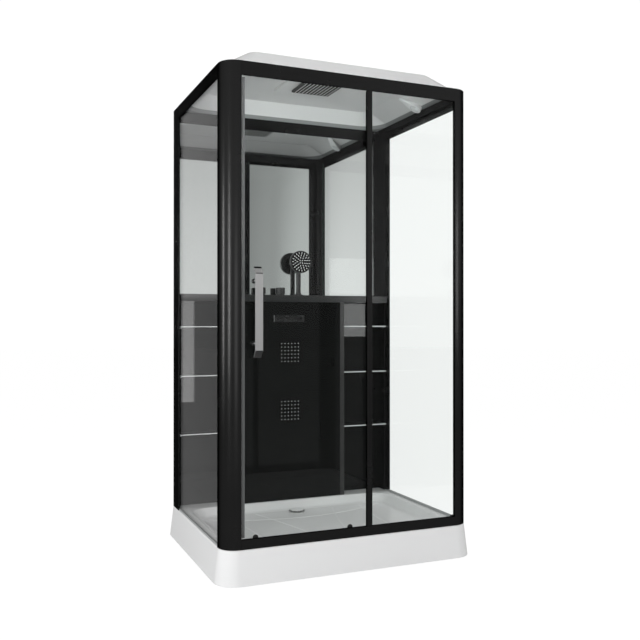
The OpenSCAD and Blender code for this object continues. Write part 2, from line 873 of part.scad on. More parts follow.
module glass_hole(x, z) {
    translate([x, door_y - over, z]) rotate([-90, 0, 0])
        cylinder(r = sleeve_r + hole_gap, h = glass_t + 2 * over);
}

// Cap, sleeve through the glass, spacer, pin and retaining head of one roller
module roller_mount(cap_r) {
    head_w = 1.6;
    rotate([-90, 0, 0]) {
        translate([0, 0, -cap_t]) cylinder(r = cap_r, h = cap_t);
        cylinder(r = sleeve_r, h = glass_t);
        translate([0, 0, glass_t]) cylinder(r = sleeve_r + 3, h = wheel_spacer);
        cylinder(r = pin_r, h = wheel_y - door_y + wheel_w + run_gap + head_w);
        translate([0, 0, wheel_y - door_y + wheel_w + run_gap]) cylinder(r = pin_r + 2, h = head_w);
    }
}

module door_hangers() {
    color([0.14, 0.14, 0.14]) for (x = roller_xs) translate([x, door_y, upper_wheel_z])
        roller_mount(upper_wheel_r - 1);
}

module lower_roller_mounts() {
    color([0.14, 0.14, 0.14]) for (x = roller_xs) translate([x, door_y, lower_wheel_z])
        roller_mount(lower_wheel_r + 1);
}

module wheel(x, z, r) {
    color("whitesmoke") translate([x, wheel_y, z]) rotate([-90, 0, 0]) difference() {
        cylinder(r = r, h = wheel_w);
        translate([0, 0, -over]) cylinder(r = pin_r + bore_gap, h = wheel_w + 2 * over);
    }
}

module upper_roller_left() {
    wheel(roller_xs[0], upper_wheel_z, upper_wheel_r);
}

module upper_roller_right() {
    wheel(roller_xs[1], upper_wheel_z, upper_wheel_r);
}

module lower_roller_left() {
    wheel(roller_xs[0], lower_wheel_z, lower_wheel_r);
}

module lower_roller_right() {
    wheel(roller_xs[1], lower_wheel_z, lower_wheel_r);
}

// Rubber buffers on the top track that end the door's travel
module door_stops() {
    stop_l = 14;
    xs = [
        roller_xs[0] - upper_wheel_r - run_gap - stop_l,
        roller_xs[1] + upper_wheel_r + door_travel + run_gap
    ];
    color([0.2, 0.2, 0.2]) for (x = xs)
        block([x, track_y, upper_track_z],
            [x + stop_l, track_y + track_t, upper_track_z + upper_wheel_r * 1.5]);
}

module handle_bar() {
    z0 = bar_z - bar_h / 2;
    z1 = bar_z + bar_h / 2;
    k = bar_t * 0.4;
    end_y = bar_front + bar_bend_d;
    color("silver") translate([bar_x - bar_w / 2, 0, 0]) rotate([90, 0, 90]) linear_extrude(bar_w)
        polygon([
            [end_y, z0 - bar_bend_h], [bar_front, z0], [bar_front, z1], [end_y, z1 + bar_bend_h],
            [end_y, z1 + bar_bend_h - bar_t * 1.3], [bar_back, z1 - k],
            [bar_back, z0 + k], [end_y, z0 - bar_bend_h + bar_t * 1.3]
        ]);
}

module handle_posts() {
    nut_w = 6;
    washer_t = 3;
    color("silver") for (z = handle_zs) translate([bar_x, door_y, z]) rotate([-90, 0, 0]) {
        translate([0, 0, bar_back - door_y]) cylinder(r = handle_post_r, h = door_y - bar_back);
        translate([0, 0, -washer_t]) cylinder(r = handle_post_r + 3, h = washer_t);
        cylinder(r = sleeve_r, h = glass_t);
        translate([0, 0, glass_t]) cylinder(r = handle_post_r + 3, h = nut_w);
    }
}

panel_bite = 7;
panel_end = post_x + panel_bite;

module mirror_panel() {
    color("lightsteelblue") block([-panel_end, mirror_y, mirror_low],
        [panel_end, mirror_y + panel_t, rail_under + panel_bite + 1]);
}

module niche_panel() {
    color([0.1, 0.1, 0.1]) block([centre_x - centre_t, mirror_y, tray_h],
        [panel_end, mirror_y + panel_t, mirror_low]);
}

module niche_panel_right() {
    niche_panel();
}

module niche_panel_left() {
    mirror([1, 0, 0]) niche_panel();
}

// Places the hand shower's own frame: origin on the ledge, +Z along the handle
module shower_place() {
    translate([socket_x, fitting_y, ledge_top]) children();
}

module ledge() {
    bevel = 3;
    color([0.2, 0.2, 0.2]) difference() {
        translate([-post_x, 0, 0]) rotate([90, 0, 90]) linear_extrude(2 * post_x) difference() {
            polygon([
                [ledge_y, ledge_low], [ledge_y, ledge_top - bevel], [ledge_y + bevel, ledge_top],
                [mirror_y, ledge_top], [mirror_y, ledge_low]
            ]);
            translate([ledge_y + ledge_wall, ledge_low + ledge_wall])
                square([ledge_d - 2 * ledge_wall, ledge_h - 2 * ledge_wall - bevel / 2]);
        }
        for (x = [-knob_x_left, -knob_x_right]) translate([x, fitting_y, ledge_low - over])
            cylinder(r = spindle_r + 3, h = ledge_h + 2 * over);
        shower_place() translate([0, 0, -2 * ledge_h])
            cylinder(r = cone_r + socket_wall + hole_gap, h = 3 * ledge_h);
    }
}

module centre_panel() {
    spout_open_w = spout_w - 2 * spout_edge;
    spout_open_h = spout_h - 2 * spout_edge + 2;
    color([0.1, 0.1, 0.1]) difference() {
        union() {
            block([-centre_x, wall_y, tray_h], [centre_x, wall_y + centre_t, ledge_low]);
            for (s = [0, 1]) mirror([s, 0, 0])
                block([centre_x - centre_t, wall_y, tray_h], [centre_x, mirror_y, ledge_low]);
        }
        for (z = jet_zs) translate([jet_x, wall_y - over, z]) rotate([-90, 0, 0])
            cylinder(r = jet_stem_r + hole_gap, h = centre_t + 2 * over);
        block([-spout_open_w / 2, wall_y - over, spout_z - spout_open_h / 2],
            [spout_open_w / 2, wall_y + centre_t + over, spout_z + spout_open_h / 2]);
    }
}

module centre_trims() {
    color([0.25, 0.25, 0.25]) for (s = [0, 1]) mirror([s, 0, 0])
        block([centre_x - trim_w, wall_y - trim_t, tray_h], [centre_x, wall_y, ledge_low]);
}

module shelves() {
    color([0.8, 0.85, 0.85, 0.6]) for (z = shelf_zs)
        block([centre_x, wall_y + shelf_set_back, z - shelf_t / 2], [post_x, mirror_y, z + shelf_t / 2]);
}

module shelves_right() {
    shelves();
}

module shelves_left() {
    mirror([1, 0, 0]) shelves();
}

module shelf_clips() {
    clip = [10, 14, 7];
    color("silver") for (s = [0, 1], z = shelf_zs, x = [centre_x, post_x - clip.x], k = [0.25, 0.75])
        mirror([s, 0, 0]) translate([x, wall_y + niche_d * k, z - shelf_t / 2 - clip.z]) cube(clip);
}

module mixer_body() {
    color("goldenrod") difference() {
        union() {
            translate([-knob_x_left - mixer_end, fitting_y, mixer_z]) rotate([0, 90, 0])
                cylinder(r = mixer_r, h = knob_x_left - knob_x_right + 2 * mixer_end);
            for (x = [-knob_x_left, -knob_x_right]) translate([x, fitting_y, mixer_z])
                cylinder(r = cartridge_r, h = ledge_low - mixer_z);
            for (k = [-0.5, 0.5]) translate([inlet_x + k * inlet_pitch, fitting_y, mixer_z])
                rotate([-90, 0, 0]) {
                    cylinder(r = pipe_r, h = inlet_end - fitting_y);
                    cylinder(r = pipe_r + shoulder, h = inlet_end - fitting_y - thread_l);
                }
            for (k = [-1, 0, 1])
                translate([inlet_x + k * hose_stub_pitch, fitting_y, mixer_z - mixer_r - hose_stub_l])
                    cylinder(r = hose_stub_r, h = mixer_r + hose_stub_l);
        }
        for (x = [-knob_x_left, -knob_x_right]) translate([x, fitting_y, spindle_low - run_gap])
            cylinder(r = spindle_r + bore_gap, h = ledge_h * 2);
    }
}

module spindle(x) {
    color("goldenrod") translate([x, fitting_y, spindle_low])
        cylinder(r = spindle_r, h = spindle_high - spindle_low);
}

module temperature_spindle() {
    spindle(-knob_x_left);
}

module selector_spindle() {
    spindle(-knob_x_right);
}

// A round knob with a narrow waist at its foot and an index groove
module knob(x) {
    waist_h = 6;
    waist_in = 3;
    edge = 2;
    mark = [2, knob_r * 0.7, 1.5];
    color([0.12, 0.12, 0.12]) translate([x, fitting_y, ledge_top + run_gap]) difference() {
        union() {
            cylinder(r = knob_r - waist_in, h = waist_h + over);
            translate([0, 0, waist_h]) cylinder(r = knob_r, h = knob_h - waist_h - edge);
            translate([0, 0, knob_h - edge]) cylinder(r1 = knob_r, r2 = knob_r - edge, h = edge);
        }
        translate([0, 0, -over])
            cylinder(r = spindle_r + bore_gap, h = knob_h - knob_top_t - run_gap + over);
        translate([-mark.x / 2, -knob_r - over, knob_h - mark.z]) cube(mark + [0, 0, over]);
    }
}

module temperature_knob() {
    knob(-knob_x_left);
}

module selector_knob() {
    knob(-knob_x_right);
}

socket_high = 12;

module shower_socket() {
    flange_r = 26;
    plate_t = 4;
    color([0.12, 0.12, 0.12]) difference() {
        union() {
            translate([socket_x, fitting_y, ledge_top]) cylinder(r = flange_r, h = plate_t);
            shower_place() translate([0, 0, -cone_l])
                cylinder(r = cone_r + socket_wall, h = cone_l + socket_high);
        }
        shower_place() translate([0, 0, -cone_l - over])
            cylinder(r = cone_r + run_gap, h = cone_l + socket_high + 2 * over);
    }
}

// Root in the socket, handle, neck and round head of the hand shower
module hand_shower() {
    dome_t = 9;
    head_rear = head_t / 2 - head_forward;
    color([0.1, 0.1, 0.1]) shower_place() {
        translate([0, 0, -cone_l]) cylinder(r = cone_r, h = cone_l + socket_high + 2 * over);
        translate([0, 0, socket_high + run_gap]) cylinder(r = grip_r, h = shower_l - socket_high - run_gap);
        translate([0, 0, shower_l]) {
            sphere(grip_r);
            rotate([90, 0, 0]) cylinder(r = grip_r, h = -head_rear);
        }
        translate([0, head_rear, shower_l]) rotate([-90, 0, 0]) {
            translate([0, 0, -head_t]) cylinder(r = head_r, h = head_t);
            cylinder(r1 = head_r, r2 = head_r * 0.55, h = dome_t);
        }
    }
}

module hand_shower_face() {
    face_t = 2;
    tip_h = 1.5;
    tip_r = 1.3;
    rings = [[12, 6], [24, 12], [36, 18], [46, 24]];
    color([0.3, 0.3, 0.3]) shower_place() translate([0, -head_forward - head_t / 2, shower_l])
        rotate([90, 0, 0]) {
            cylinder(r = head_r - 5, h = face_t);
            for (ring = rings, i = [1:ring[1]]) rotate([0, 0, 360 * i / ring[1]])
                translate([ring[0], 0, 0]) cylinder(r = tip_r, h = face_t + tip_h, $fn = 13);
        }
}

// Water spout set in a rectangular frame on the centre panel
module spout() {
    frame_t = 4;
    box_d = 18;
    wall = 2;
    barb_r = 6;
    barb_l = 20;
    w = spout_w / 2;
    h = spout_h / 2;
    in_w = w - spout_edge - hole_gap;
    in_h = h - spout_edge + 1 - hole_gap;
    color([0.2, 0.2, 0.2]) difference() {
        union() {
            block([-w, wall_y - frame_t, spout_z - h], [w, wall_y, spout_z + h]);
            block([-in_w, wall_y - over, spout_z - in_h], [in_w, wall_y + box_d, spout_z + in_h]);
            translate([w - 3 * spout_edge, wall_y + box_d - barb_r, spout_z - in_h - barb_l])
                cylinder(r = barb_r, h = barb_l + over);
        }
        block([wall - in_w, wall_y - frame_t - over, spout_z - in_h + wall],
            [in_w - wall, wall_y + box_d - wall, spout_z + in_h - wall]);
    }
}

// Positions of a square field of nozzles around its middle
function field(n, pitch) = [for (i = [0:n - 1], j = [0:n - 1]) [i - (n - 1) / 2, j - (n - 1) / 2] * pitch];

module jet_plate(z) {
    mat_room = mat_t + run_gap;
    mat_side = jet_side - 2 * jet_rim;
    stem_l = 36;
    color([0.12, 0.12, 0.12]) translate([jet_x, wall_y, z]) rotate([90, 0, 0]) {
        difference() {
            translate([-jet_side / 2, -jet_side / 2, 0]) cube([jet_side, jet_side, jet_t]);
            difference() {
                translate([-mat_side / 2, -mat_side / 2, -over]) cube([mat_side, mat_side, mat_room + over]);
                translate([0, 0, -2 * over]) cylinder(r = post_r, h = mat_room + 3 * over);
            }
            for (p = field(nozzle_n, nozzle_pitch)) translate([p.x, p.y, 0])
                cylinder(r = nozzle_r + hole_gap, h = jet_t + over, $fn = 16);
        }
        translate([0, 0, -stem_l]) cylinder(r = jet_stem_r, h = stem_l);
    }
}

module jet_plate_upper() {
    jet_plate(jet_high);
}

module jet_plate_lower() {
    jet_plate(jet_low);
}

// Soft nozzle mats behind the jet plates, with a nipple through every hole
module jet_mats() {
    side = jet_side - 2 * jet_rim - 2;
    tip = 1.5;
    color("gainsboro") for (z = jet_zs) translate([jet_x, wall_y, z]) rotate([90, 0, 0]) difference() {
        union() {
            translate([-side / 2, -side / 2, 0]) cube([side, side, mat_t]);
            for (p = field(nozzle_n, nozzle_pitch)) translate([p.x, p.y, 0])
                cylinder(r = nozzle_r, h = jet_t + tip, $fn = 16);
        }
        translate([0, 0, -over]) cylinder(r = post_r + hole_gap, h = jet_t);
    }
}

sheet_t = 0.01;

// A thin rounded rectangle
module rounded_sheet(w, l, r) {
    for (x = [r - w / 2, w / 2 - r], y = [r - l / 2, l / 2 - r])
        translate([x, y, 0]) cylinder(r = r, h = sheet_t, $fn = 64);
}

// A block that leans in by its own run on the sides and on the front and rear
module roof_block(w, l, h, foot_r, top_r) {
    k = 2 * h / roof_h;
    hull() {
        rounded_sheet(w, l, foot_r);
        translate([0, 0, h - sheet_t]) rounded_sheet(w - k * side_run, l - k * front_run, top_r);
    }
}

// The space under the roof, without the lowered square
module roof_hollow() {
    w = pan_w / 2;
    difference() {
        translate([0, roof_mid, frame_top - sheet_t])
            roof_block(roof_w - 2 * skin.x, roof_l - 2 * skin.y, roof_h - roof_wall,
                roof_r - roof_wall, roof_top_r - roof_wall);
        block([-w, -rain_front - w, pan_z], [w, w - rain_front, roof_top]);
    }
}

module roof_dome() {
    flange_inset = 3;
    w = pan_w / 2;
    color("white") difference() {
        union() {
            translate([0, 0, frame_top]) linear_extrude(flange_h) frame_plan(flange_inset);
            translate([0, roof_mid, frame_top]) roof_block(roof_w, roof_l, roof_h, roof_r, roof_top_r);
        }
        roof_hollow();
        block([roof_wall - w, roof_wall - rain_front - w, pan_z + roof_wall],
            [w - roof_wall, w - roof_wall - rain_front, roof_top + over]);
        translate([0, -rain_front, pan_z - over]) cylinder(r = rain_neck_r + hole_gap, h = roof_h);
    }
}

module rain_head() {
    neck_r = 30;
    nut_t = 6;
    nut_side_r = 19;
    rim = 6;
    s = rain_side / 2;
    color([0.12, 0.12, 0.12]) translate([0, -rain_front, 0]) difference() {
        union() {
            block([-s, -s, rain_low], [s, s, rain_low + rain_t]);
            translate([0, 0, rain_low + rain_t - over]) cylinder(r = neck_r, h = rain_neck_h + over);
            translate([0, 0, pan_z - over]) cylinder(r = rain_neck_r, h = roof_wall + 2 * over);
            translate([0, 0, pan_z + roof_wall]) cylinder(r = nut_side_r, h = nut_t, $fn = 6);
            translate([0, 0, pan_z + roof_wall]) cylinder(r = pipe_r, h = nut_t + thread_l);
        }
        block([rim - s, rim - s, rain_low - over], [s - rim, s - rim, rain_low + rain_mat_t]);
    }
}

module rain_head_mat() {
    rim = 7;
    tip = 2;
    tip_r = 3.2;
    s = rain_side / 2 - rim;
    pitch = 2 * (s - rim) / (rain_n - 1);
    color([0.3, 0.3, 0.3]) translate([0, -rain_front, 0]) {
        block([-s, -s, rain_low], [s, s, rain_low + rain_mat_t]);
        for (p = field(rain_n, pitch)) translate([p.x, p.y, rain_low - tip])
            cylinder(r = tip_r, h = tip + over, $fn = 14);
    }
}

// Places the lamp's own frame: origin on the ceiling's right slope, +Z into the cabin
module lamp_place() {
    translate([lamp_x, -lamp_front, slope_z]) rotate([0, 180 + slope_angle, 0]) children();
}

module lamp_housing() {
    ring = 7;
    tail = [66, 38, 4];
    color("white") difference() {
        intersection() {
            lamp_place() hull() {
                translate([0, 0, -ring]) cylinder(r = lens_r + ring, h = lamp_drop + ring, $fn = 32);
                translate([tail.x, tail.y, -ring]) cylinder(r = lens_r * 0.75, h = ring + tail.z, $fn = 32);
            }
            union() {
                roof_hollow();
                block([0, front_y, rail_under], [frame_x - side_t - 1, rear_y, frame_top]);
            }
        }
        lamp_place() translate([0, 0, lamp_drop - lens_seat])
            cylinder(r = lens_r + hole_gap, h = lamp_drop);
    }
}

module lamp_lens() {
    bulge = 6;
    color("aliceblue") lamp_place() translate([0, 0, lamp_drop - lens_seat]) {
        cylinder(r = lens_r, h = lens_seat);
        translate([0, 0, lens_seat]) cylinder(r1 = lens_r, r2 = lens_r * 0.6, h = bulge);
    }
}

tray_shell();
tray_frame();
foot_bolts();
foot_pads();
drain_trap();
drain_cover();
front_column_left();
front_column_right();
front_top_rail();
front_bottom_rail();
side_top_rail_left();
side_top_rail_right();
rear_top_rail();
rear_post_left();
rear_post_right();
frame_screws();
side_glass_left();
side_glass_right();
side_seals();
fixed_glass();
fixed_stile();
column_seal();
door_glass();
door_edge_seal();
door_wiper();
handle_bar();
handle_posts();
door_hangers();
upper_roller_left();
upper_roller_right();
lower_roller_mounts();
lower_roller_left();
lower_roller_right();
door_stops();
mirror_panel();
ledge();
centre_panel();
centre_trims();
niche_panel_left();
niche_panel_right();
shelves_left();
shelves_right();
shelf_clips();
mixer_body();
temperature_knob();
temperature_spindle();
selector_knob();
selector_spindle();
hand_shower();
hand_shower_face();
shower_socket();
spout();
jet_plate_upper();
jet_plate_lower();
jet_mats();
roof_dome();
rain_head();
rain_head_mat();
lamp_housing();
lamp_lens();
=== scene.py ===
"""Looks of a rectangular shower cabin with a sliding glass door."""

import json
import math

import bpy
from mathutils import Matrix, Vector


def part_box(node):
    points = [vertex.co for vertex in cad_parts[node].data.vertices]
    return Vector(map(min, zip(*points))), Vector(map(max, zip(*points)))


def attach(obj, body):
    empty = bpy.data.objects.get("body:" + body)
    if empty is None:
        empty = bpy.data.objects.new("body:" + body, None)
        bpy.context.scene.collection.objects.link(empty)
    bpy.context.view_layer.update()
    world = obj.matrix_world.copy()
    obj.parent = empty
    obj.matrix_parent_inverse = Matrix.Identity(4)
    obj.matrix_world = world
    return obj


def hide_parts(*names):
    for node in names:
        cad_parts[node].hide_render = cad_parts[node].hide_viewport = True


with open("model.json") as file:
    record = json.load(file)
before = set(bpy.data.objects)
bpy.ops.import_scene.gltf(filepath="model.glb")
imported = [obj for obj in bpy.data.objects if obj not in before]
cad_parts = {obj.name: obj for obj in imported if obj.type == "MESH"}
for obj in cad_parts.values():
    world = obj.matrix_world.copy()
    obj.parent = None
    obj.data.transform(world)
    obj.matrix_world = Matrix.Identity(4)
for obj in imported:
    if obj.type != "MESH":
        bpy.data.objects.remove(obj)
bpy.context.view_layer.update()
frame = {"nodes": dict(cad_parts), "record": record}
record = frame["record"]
BODY_OF = {n: body for body, nodes in record["behaviour"]["bodies"].items() for n in nodes}
SLOT_OF = {part["node"]: part["material_slot"] for part in record["subparts"]}

# Camera, fitted to the straight edges of the frame
CAMERA_AT = (-1.4715, -3.5236, 1.067)
CAMERA_TURN = (90.15, 0.0, -22.99)
CAMERA_LENS = 44.95
CAMERA_SENSOR = 36.0

# Basin of the tray
BASIN_RIM = 0.147
BASIN_FLOOR = 0.108
BASIN_X = 0.533
BASIN_FRONT = -0.383
BASIN_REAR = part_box("rear_post_left")[0].y
FLOOR_INSET = 0.04
FLOOR_CORNER = 0.055

# Door handle
BAR_BEND = 0.028
BAR_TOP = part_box("handle_bar")[1].z
# Half height of the band of painted shade along the top of the handle's upper end
BAR_TOP_SHADE = 0.0075
BRUSH_ACROSS = (900.0, 900.0, 8.0)

# Rain head
RAIN_LOW, RAIN_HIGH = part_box("rain_head_mat")
RAIN_RIM = 0.007
RAIN_ROWS = 10
RIB_PITCH = (RAIN_HIGH.x - RAIN_LOW.x - 2 * RAIN_RIM) / (RAIN_ROWS - 1)
RIB_SHARE = 0.16
RAIN_TIP = 0.0015

# Body jets
JET_TIP = 0.0004

# Hand shower: radius and number of seeds of each ring, and the half axes of a seed
SEED_RINGS = ((0.009, 4), (0.0215, 9), (0.0335, 14), (0.046, 19))
SEED_SIZE = (0.0052, 0.0009, 0.0021)
SEED_OUT = 0.0022

# Roof
ROOF_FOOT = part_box("roof_dome")[0].z
ROOF_SHADE = 0.014

# Rounding of edges
FINE_EDGE = 0.0004
THIN_EDGE = 0.0005
HAIRLINE = 0.0006
EDGE = 0.0008
FULL_EDGE = 0.001
SOFT_EDGE = 0.0012
TUBE_EDGE = 0.002
PAD_EDGE = 0.0015
ROOF_EDGE = 0.004

# Modelling limits: distances in metres, angles in degrees
MERGE = 0.00001
NEAR = 0.0001
FLAT_ANGLE = 0.3
SHARP_ANGLE = 40.0
SMOOTH_ANGLE = 35.0
LOOKS_ALONG = 0.5

# Grain, patches and brush lines in the finishes
MASK_SPAN = (0.3, 0.7)
GRAIN_DETAIL = 2.0
PATCH_DETAIL = 3.0
BRUSH_DETAIL = 4.0
COAT_PATCHES = 7.0
COAT_RELIEF = 0.001
BRUSH_DEPTH = 0.05
BRUSH_RELIEF = 0.0005
BRUSH_CHANGE = 1.25
GLASS_PATCHES = 2.0
GLASS_GLOSS = (0.0, 0.01)
MIRROR_RISE = 5.0

# Brightness of the studio as the camera, mirrors and matt surfaces see it
WHITE_LEVEL = 1.03
FLOOR_WHITE = 1.1
FLOOR_COLOR = (0.86, 0.86, 0.86, 1)
FLOOR_SHARE = 0.86
FLOOR_FILL = 0.42
FLOOR_RADIUS = 30
DIM_LEVEL = 0.27
BACK_WALL = 0.35
BACK_STARTS = (-0.3, 0.3, 0.0, 1.0)
FRONT_WALL = ((0.0, 0.5), (0.27, 0.5), (0.3, 0.03), (0.33, 0.1), (0.37, 0.32), (0.42, 0.58))
WALL_FOOT = (0.026, 0.036, 0.0, 1.0)
WALL_TOP = (0.02, 0.4, 1.0, 0.3)
FILL_STEP = (0.2, 0.8, 0.6, 0.33)

# Lamps: name, place, size, power, aim, whether mirrors show it, spread in degrees
LAMPS = (
    ("front_left", (-3.0, -4.4, 2.4), (2.0, 2.0), 91.0, (0, 0, 0.8), False, 180),
    ("right_high", (2.6, 0.6, 2.2), (1.5, 1.0), 4.0, (-0.1, 0, 0.1), False, 60),
    ("overhead", (0.0, -0.4, 4.6), (3.0, 3.0), 8.0, (0, 0, 1.0), False, 180),
    ("front_low", (-0.3, -3.4, 0.9), (1.2, 0.6), 2.6, (0, 0.35, 2.15), False, 30),
    ("front_panel", (-1.25, -4.6, 1.1), (1.3, 1.5), 9.0, (-0.5, -0.4, 1.1), True, 180),
    ("strip_front", (-3.0, -2.2, 1.4), (0.3, 1.3), 18.0, (-0.5, -0.36, 1.3), True, 180),
    ("strip_side", (-3.4, -0.1, 1.4), (0.3, 1.3), 18.0, (-0.5, -0.36, 1.3), True, 180),
    ("strip_right", (2.4, -2.4, 1.5), (0.3, 1.0), 5.0, (0.5, -0.36, 1.3), True, 180),
    ("window_right", (0.797, -0.38, 1.08), (0.16, 0.216), 0.22, (0.415, 0.42, 1.08), True, 90),
    ("window_back", (-1.28, 3.1, 0.82), (0.1, 0.85), 0.16, (-0.58, 0.2, 0.9), True, 180),
)

# Opaque finishes: colour, gloss from and to, and what sets them apart from a plain coat
COATS = {
    "white_acrylic": dict(color=(0.835, 0.838, 0.84), gloss=(0.26, 0.262), depth=0, change=1.002),
    "roof_white": dict(color=(0.775, 0.778, 0.78), gloss=(0.26, 0.262), depth=0, change=1.002),
    # Painted highlight for the raised lines on the tray's floor
    "line_highlight": dict(color=(0.93, 0.933, 0.935), gloss=(0.18, 0.24), depth=0, change=1.01),
    "steel_tube": dict(
        color=(0.55, 0.56, 0.57), gloss=(0.3, 0.5), grain=160, depth=0.05, change=1.3, metallic=1),
    "steel_bolt": dict(color=(0.6, 0.6, 0.6), gloss=(0.22, 0.4), depth=0.03, change=1.1, metallic=1),
    "brass": dict(
        color=(0.62, 0.45, 0.2), gloss=(0.25, 0.42), grain=500, depth=0.03, change=1.1, metallic=1),
    "chrome": dict(
        color=(0.72, 0.73, 0.74), gloss=(0.05, 0.12), grain=200, depth=0.004, change=1.03, metallic=1),
    # Painted highlight on the drain cover's top, and painted shade on its side
    "cap_top_highlight": dict(color=(0.98, 0.98, 0.98), gloss=(0.3, 0.4), depth=0, change=1.01),
    "cap_shade": dict(
        color=(0.12, 0.12, 0.12), gloss=(0.25, 0.35), depth=0, change=1.05, metallic=0.6),
    "black_aluminium": dict(
        color=(0.034, 0.034, 0.034), gloss=(0.22, 0.28), grain=1500, depth=0.01, change=1.1,
        metallic=1, grazing=0.24),
    # Painted shade in the creases of the handle's bends
    "crease_shade": dict(color=(0.07, 0.07, 0.07), gloss=(0.4, 0.5), change=1.1, metallic=1),
    "screw_black": dict(color=(0.02, 0.02, 0.02), gloss=(0.3, 0.45)),
    "mirror": dict(color=(0.785, 0.8, 0.795), gloss=(0.0, 0.01), depth=0, change=1.01, metallic=1),
    "ledge_grey": dict(color=(0.012, 0.0125, 0.013), gloss=(0.3, 0.42), change=1.15),
    "gloss_black": dict(
        color=(0.002, 0.0024, 0.0022), gloss=(0.005, 0.02), depth=0, change=1.2, specular=0.2),
    "dark_trim": dict(color=(0.03, 0.03, 0.03), gloss=(0.3, 0.42), change=1.2, specular=0.4),
    "fitting_black": dict(
        color=(0.012, 0.012, 0.012), gloss=(0.25, 0.36), depth=0.015, change=1.2),
    "black_nylon": dict(color=(0.012, 0.012, 0.012), gloss=(0.3, 0.45)),
    "white_nylon": dict(color=(0.7, 0.7, 0.68), gloss=(0.35, 0.5), grain=700),
    "trap_plastic": dict(color=(0.75, 0.75, 0.74), gloss=(0.35, 0.5), grain=500),
    "foot_rubber": dict(color=(0.03, 0.03, 0.03), gloss=(0.6, 0.8), grain=700, depth=0.08),
    "grey_seal": dict(color=(0.36, 0.37, 0.37), gloss=(0.35, 0.5), grain=600, depth=0.03),
    "pale_seal": dict(color=(0.72, 0.73, 0.73), gloss=(0.3, 0.45), grain=600),
    "lip_grey": dict(color=(0.12, 0.125, 0.125), gloss=(0.35, 0.5), grain=600),
    "black_seal": dict(color=(0.012, 0.012, 0.012), gloss=(0.5, 0.7), grain=700, depth=0.04),
    "silicone": dict(color=(0.8, 0.8, 0.8), gloss=(0.4, 0.55)),
    "dark_silicone": dict(color=(0.02, 0.02, 0.02), gloss=(0.45, 0.6)),
    "ribbed_silicone": dict(
        color=(0.004, 0.004, 0.004), gloss=(0.45, 0.6), depth=0, specular=0.1),
    "seed_grey": dict(color=(0.75, 0.76, 0.76), gloss=(0.3, 0.45)),
    "jet_grey": dict(color=(0.42, 0.43, 0.43), gloss=(0.35, 0.5)),
    # Painted highlight at both ends of the spout's black frame
    "spout_end_highlight": dict(color=(0.55, 0.555, 0.555), gloss=(0.25, 0.35), depth=0.01),
    "lamp_white": dict(
        color=(0.8, 0.81, 0.81), gloss=(0.12, 0.25), grain=300, depth=0.006, change=1.02),
    "lamp_clear": dict(
        color=(0.7, 0.72, 0.72), gloss=(0.08, 0.16), grain=240, depth=0.01, change=1.03),
    "lamp_ring": dict(
        color=(0.5, 0.51, 0.51), gloss=(0.2, 0.3), grain=300, depth=0.006, change=1.02),
    "glass_edge": dict(color=(0.3, 0.42, 0.38), gloss=(0.25, 0.4), depth=0.03),
    "shelf_edge": dict(color=(0.8, 0.82, 0.82), gloss=(0.3, 0.45), depth=0.03),
}

# Brushed metal: colour and gloss from and to
BRUSHED = {
    "brushed_metal": dict(color=(0.62, 0.62, 0.62), gloss=(0.28, 0.4)),
    # The handle's upper bend, with painted shade along its top end
    "bend_end": dict(color=(0.62, 0.62, 0.62), gloss=(0.28, 0.4)),
    # Painted shade on the handle's lower bend
    "bend_shade": dict(color=(0.1, 0.1, 0.1), gloss=(0.3, 0.45)),
}

# Clear sheets: tint, and how much they mirror seen straight on and seen flat
SHEETS = {
    "clear_glass": dict(tint=(0.972, 0.985, 0.979), facing=0.01, grazing=0.5),
    "side_glass": dict(tint=(0.98, 0.981, 0.98), facing=0.01, grazing=0.5),
    "shelf_glass": dict(tint=(0.8, 0.84, 0.83), facing=0.03, grazing=0.6),
}


# Shader tools


def worked(nodes, links, operation, *values):
    """The result of a sum on sockets and numbers."""
    node = nodes.new("ShaderNodeMath")
    node.operation = operation
    for socket, value in zip(node.inputs, values):
        if isinstance(value, (int, float)):
            socket.default_value = value
        else:
            links.new(value, socket)
    return node.outputs["Value"]


def ranged(nodes, links, value, start, end, low, high, smooth=True):
    """A value that runs from low to high between a start and an end."""
    ramp = nodes.new("ShaderNodeMapRange")
    if smooth:
        ramp.interpolation_type = "SMOOTHSTEP"
    ramp.inputs["From Min"].default_value = start
    ramp.inputs["From Max"].default_value = end
    ramp.inputs["To Min"].default_value = low
    ramp.inputs["To Max"].default_value = high
    links.new(value, ramp.inputs["Value"])
    return ramp.outputs["Result"]


def axes(nodes, links, vector):
    """The three parts of a vector, by name."""
    split = nodes.new("ShaderNodeSeparateXYZ")
    links.new(vector, split.inputs["Vector"])
    return split.outputs


def new_group(name, inputs, outputs):
    """A shader node group with its named inputs and number outputs."""
    group = bpy.data.node_groups.new(name, "ShaderNodeTree")
    for label, kind in inputs:
        group.interface.new_socket(label, in_out="INPUT", socket_type=kind)
    for label in outputs:
        group.interface.new_socket(label, in_out="OUTPUT", socket_type="NodeSocketFloat")
    return group, group.nodes.new("NodeGroupInput"), group.nodes.new("NodeGroupOutput")


def effect(nodes, group, **values):
    """A use of a shared group with its inputs set."""
    node = nodes.new("ShaderNodeGroup")
    node.node_tree = group
    for label, value in values.items():
        node.inputs[label].default_value = value
    return node


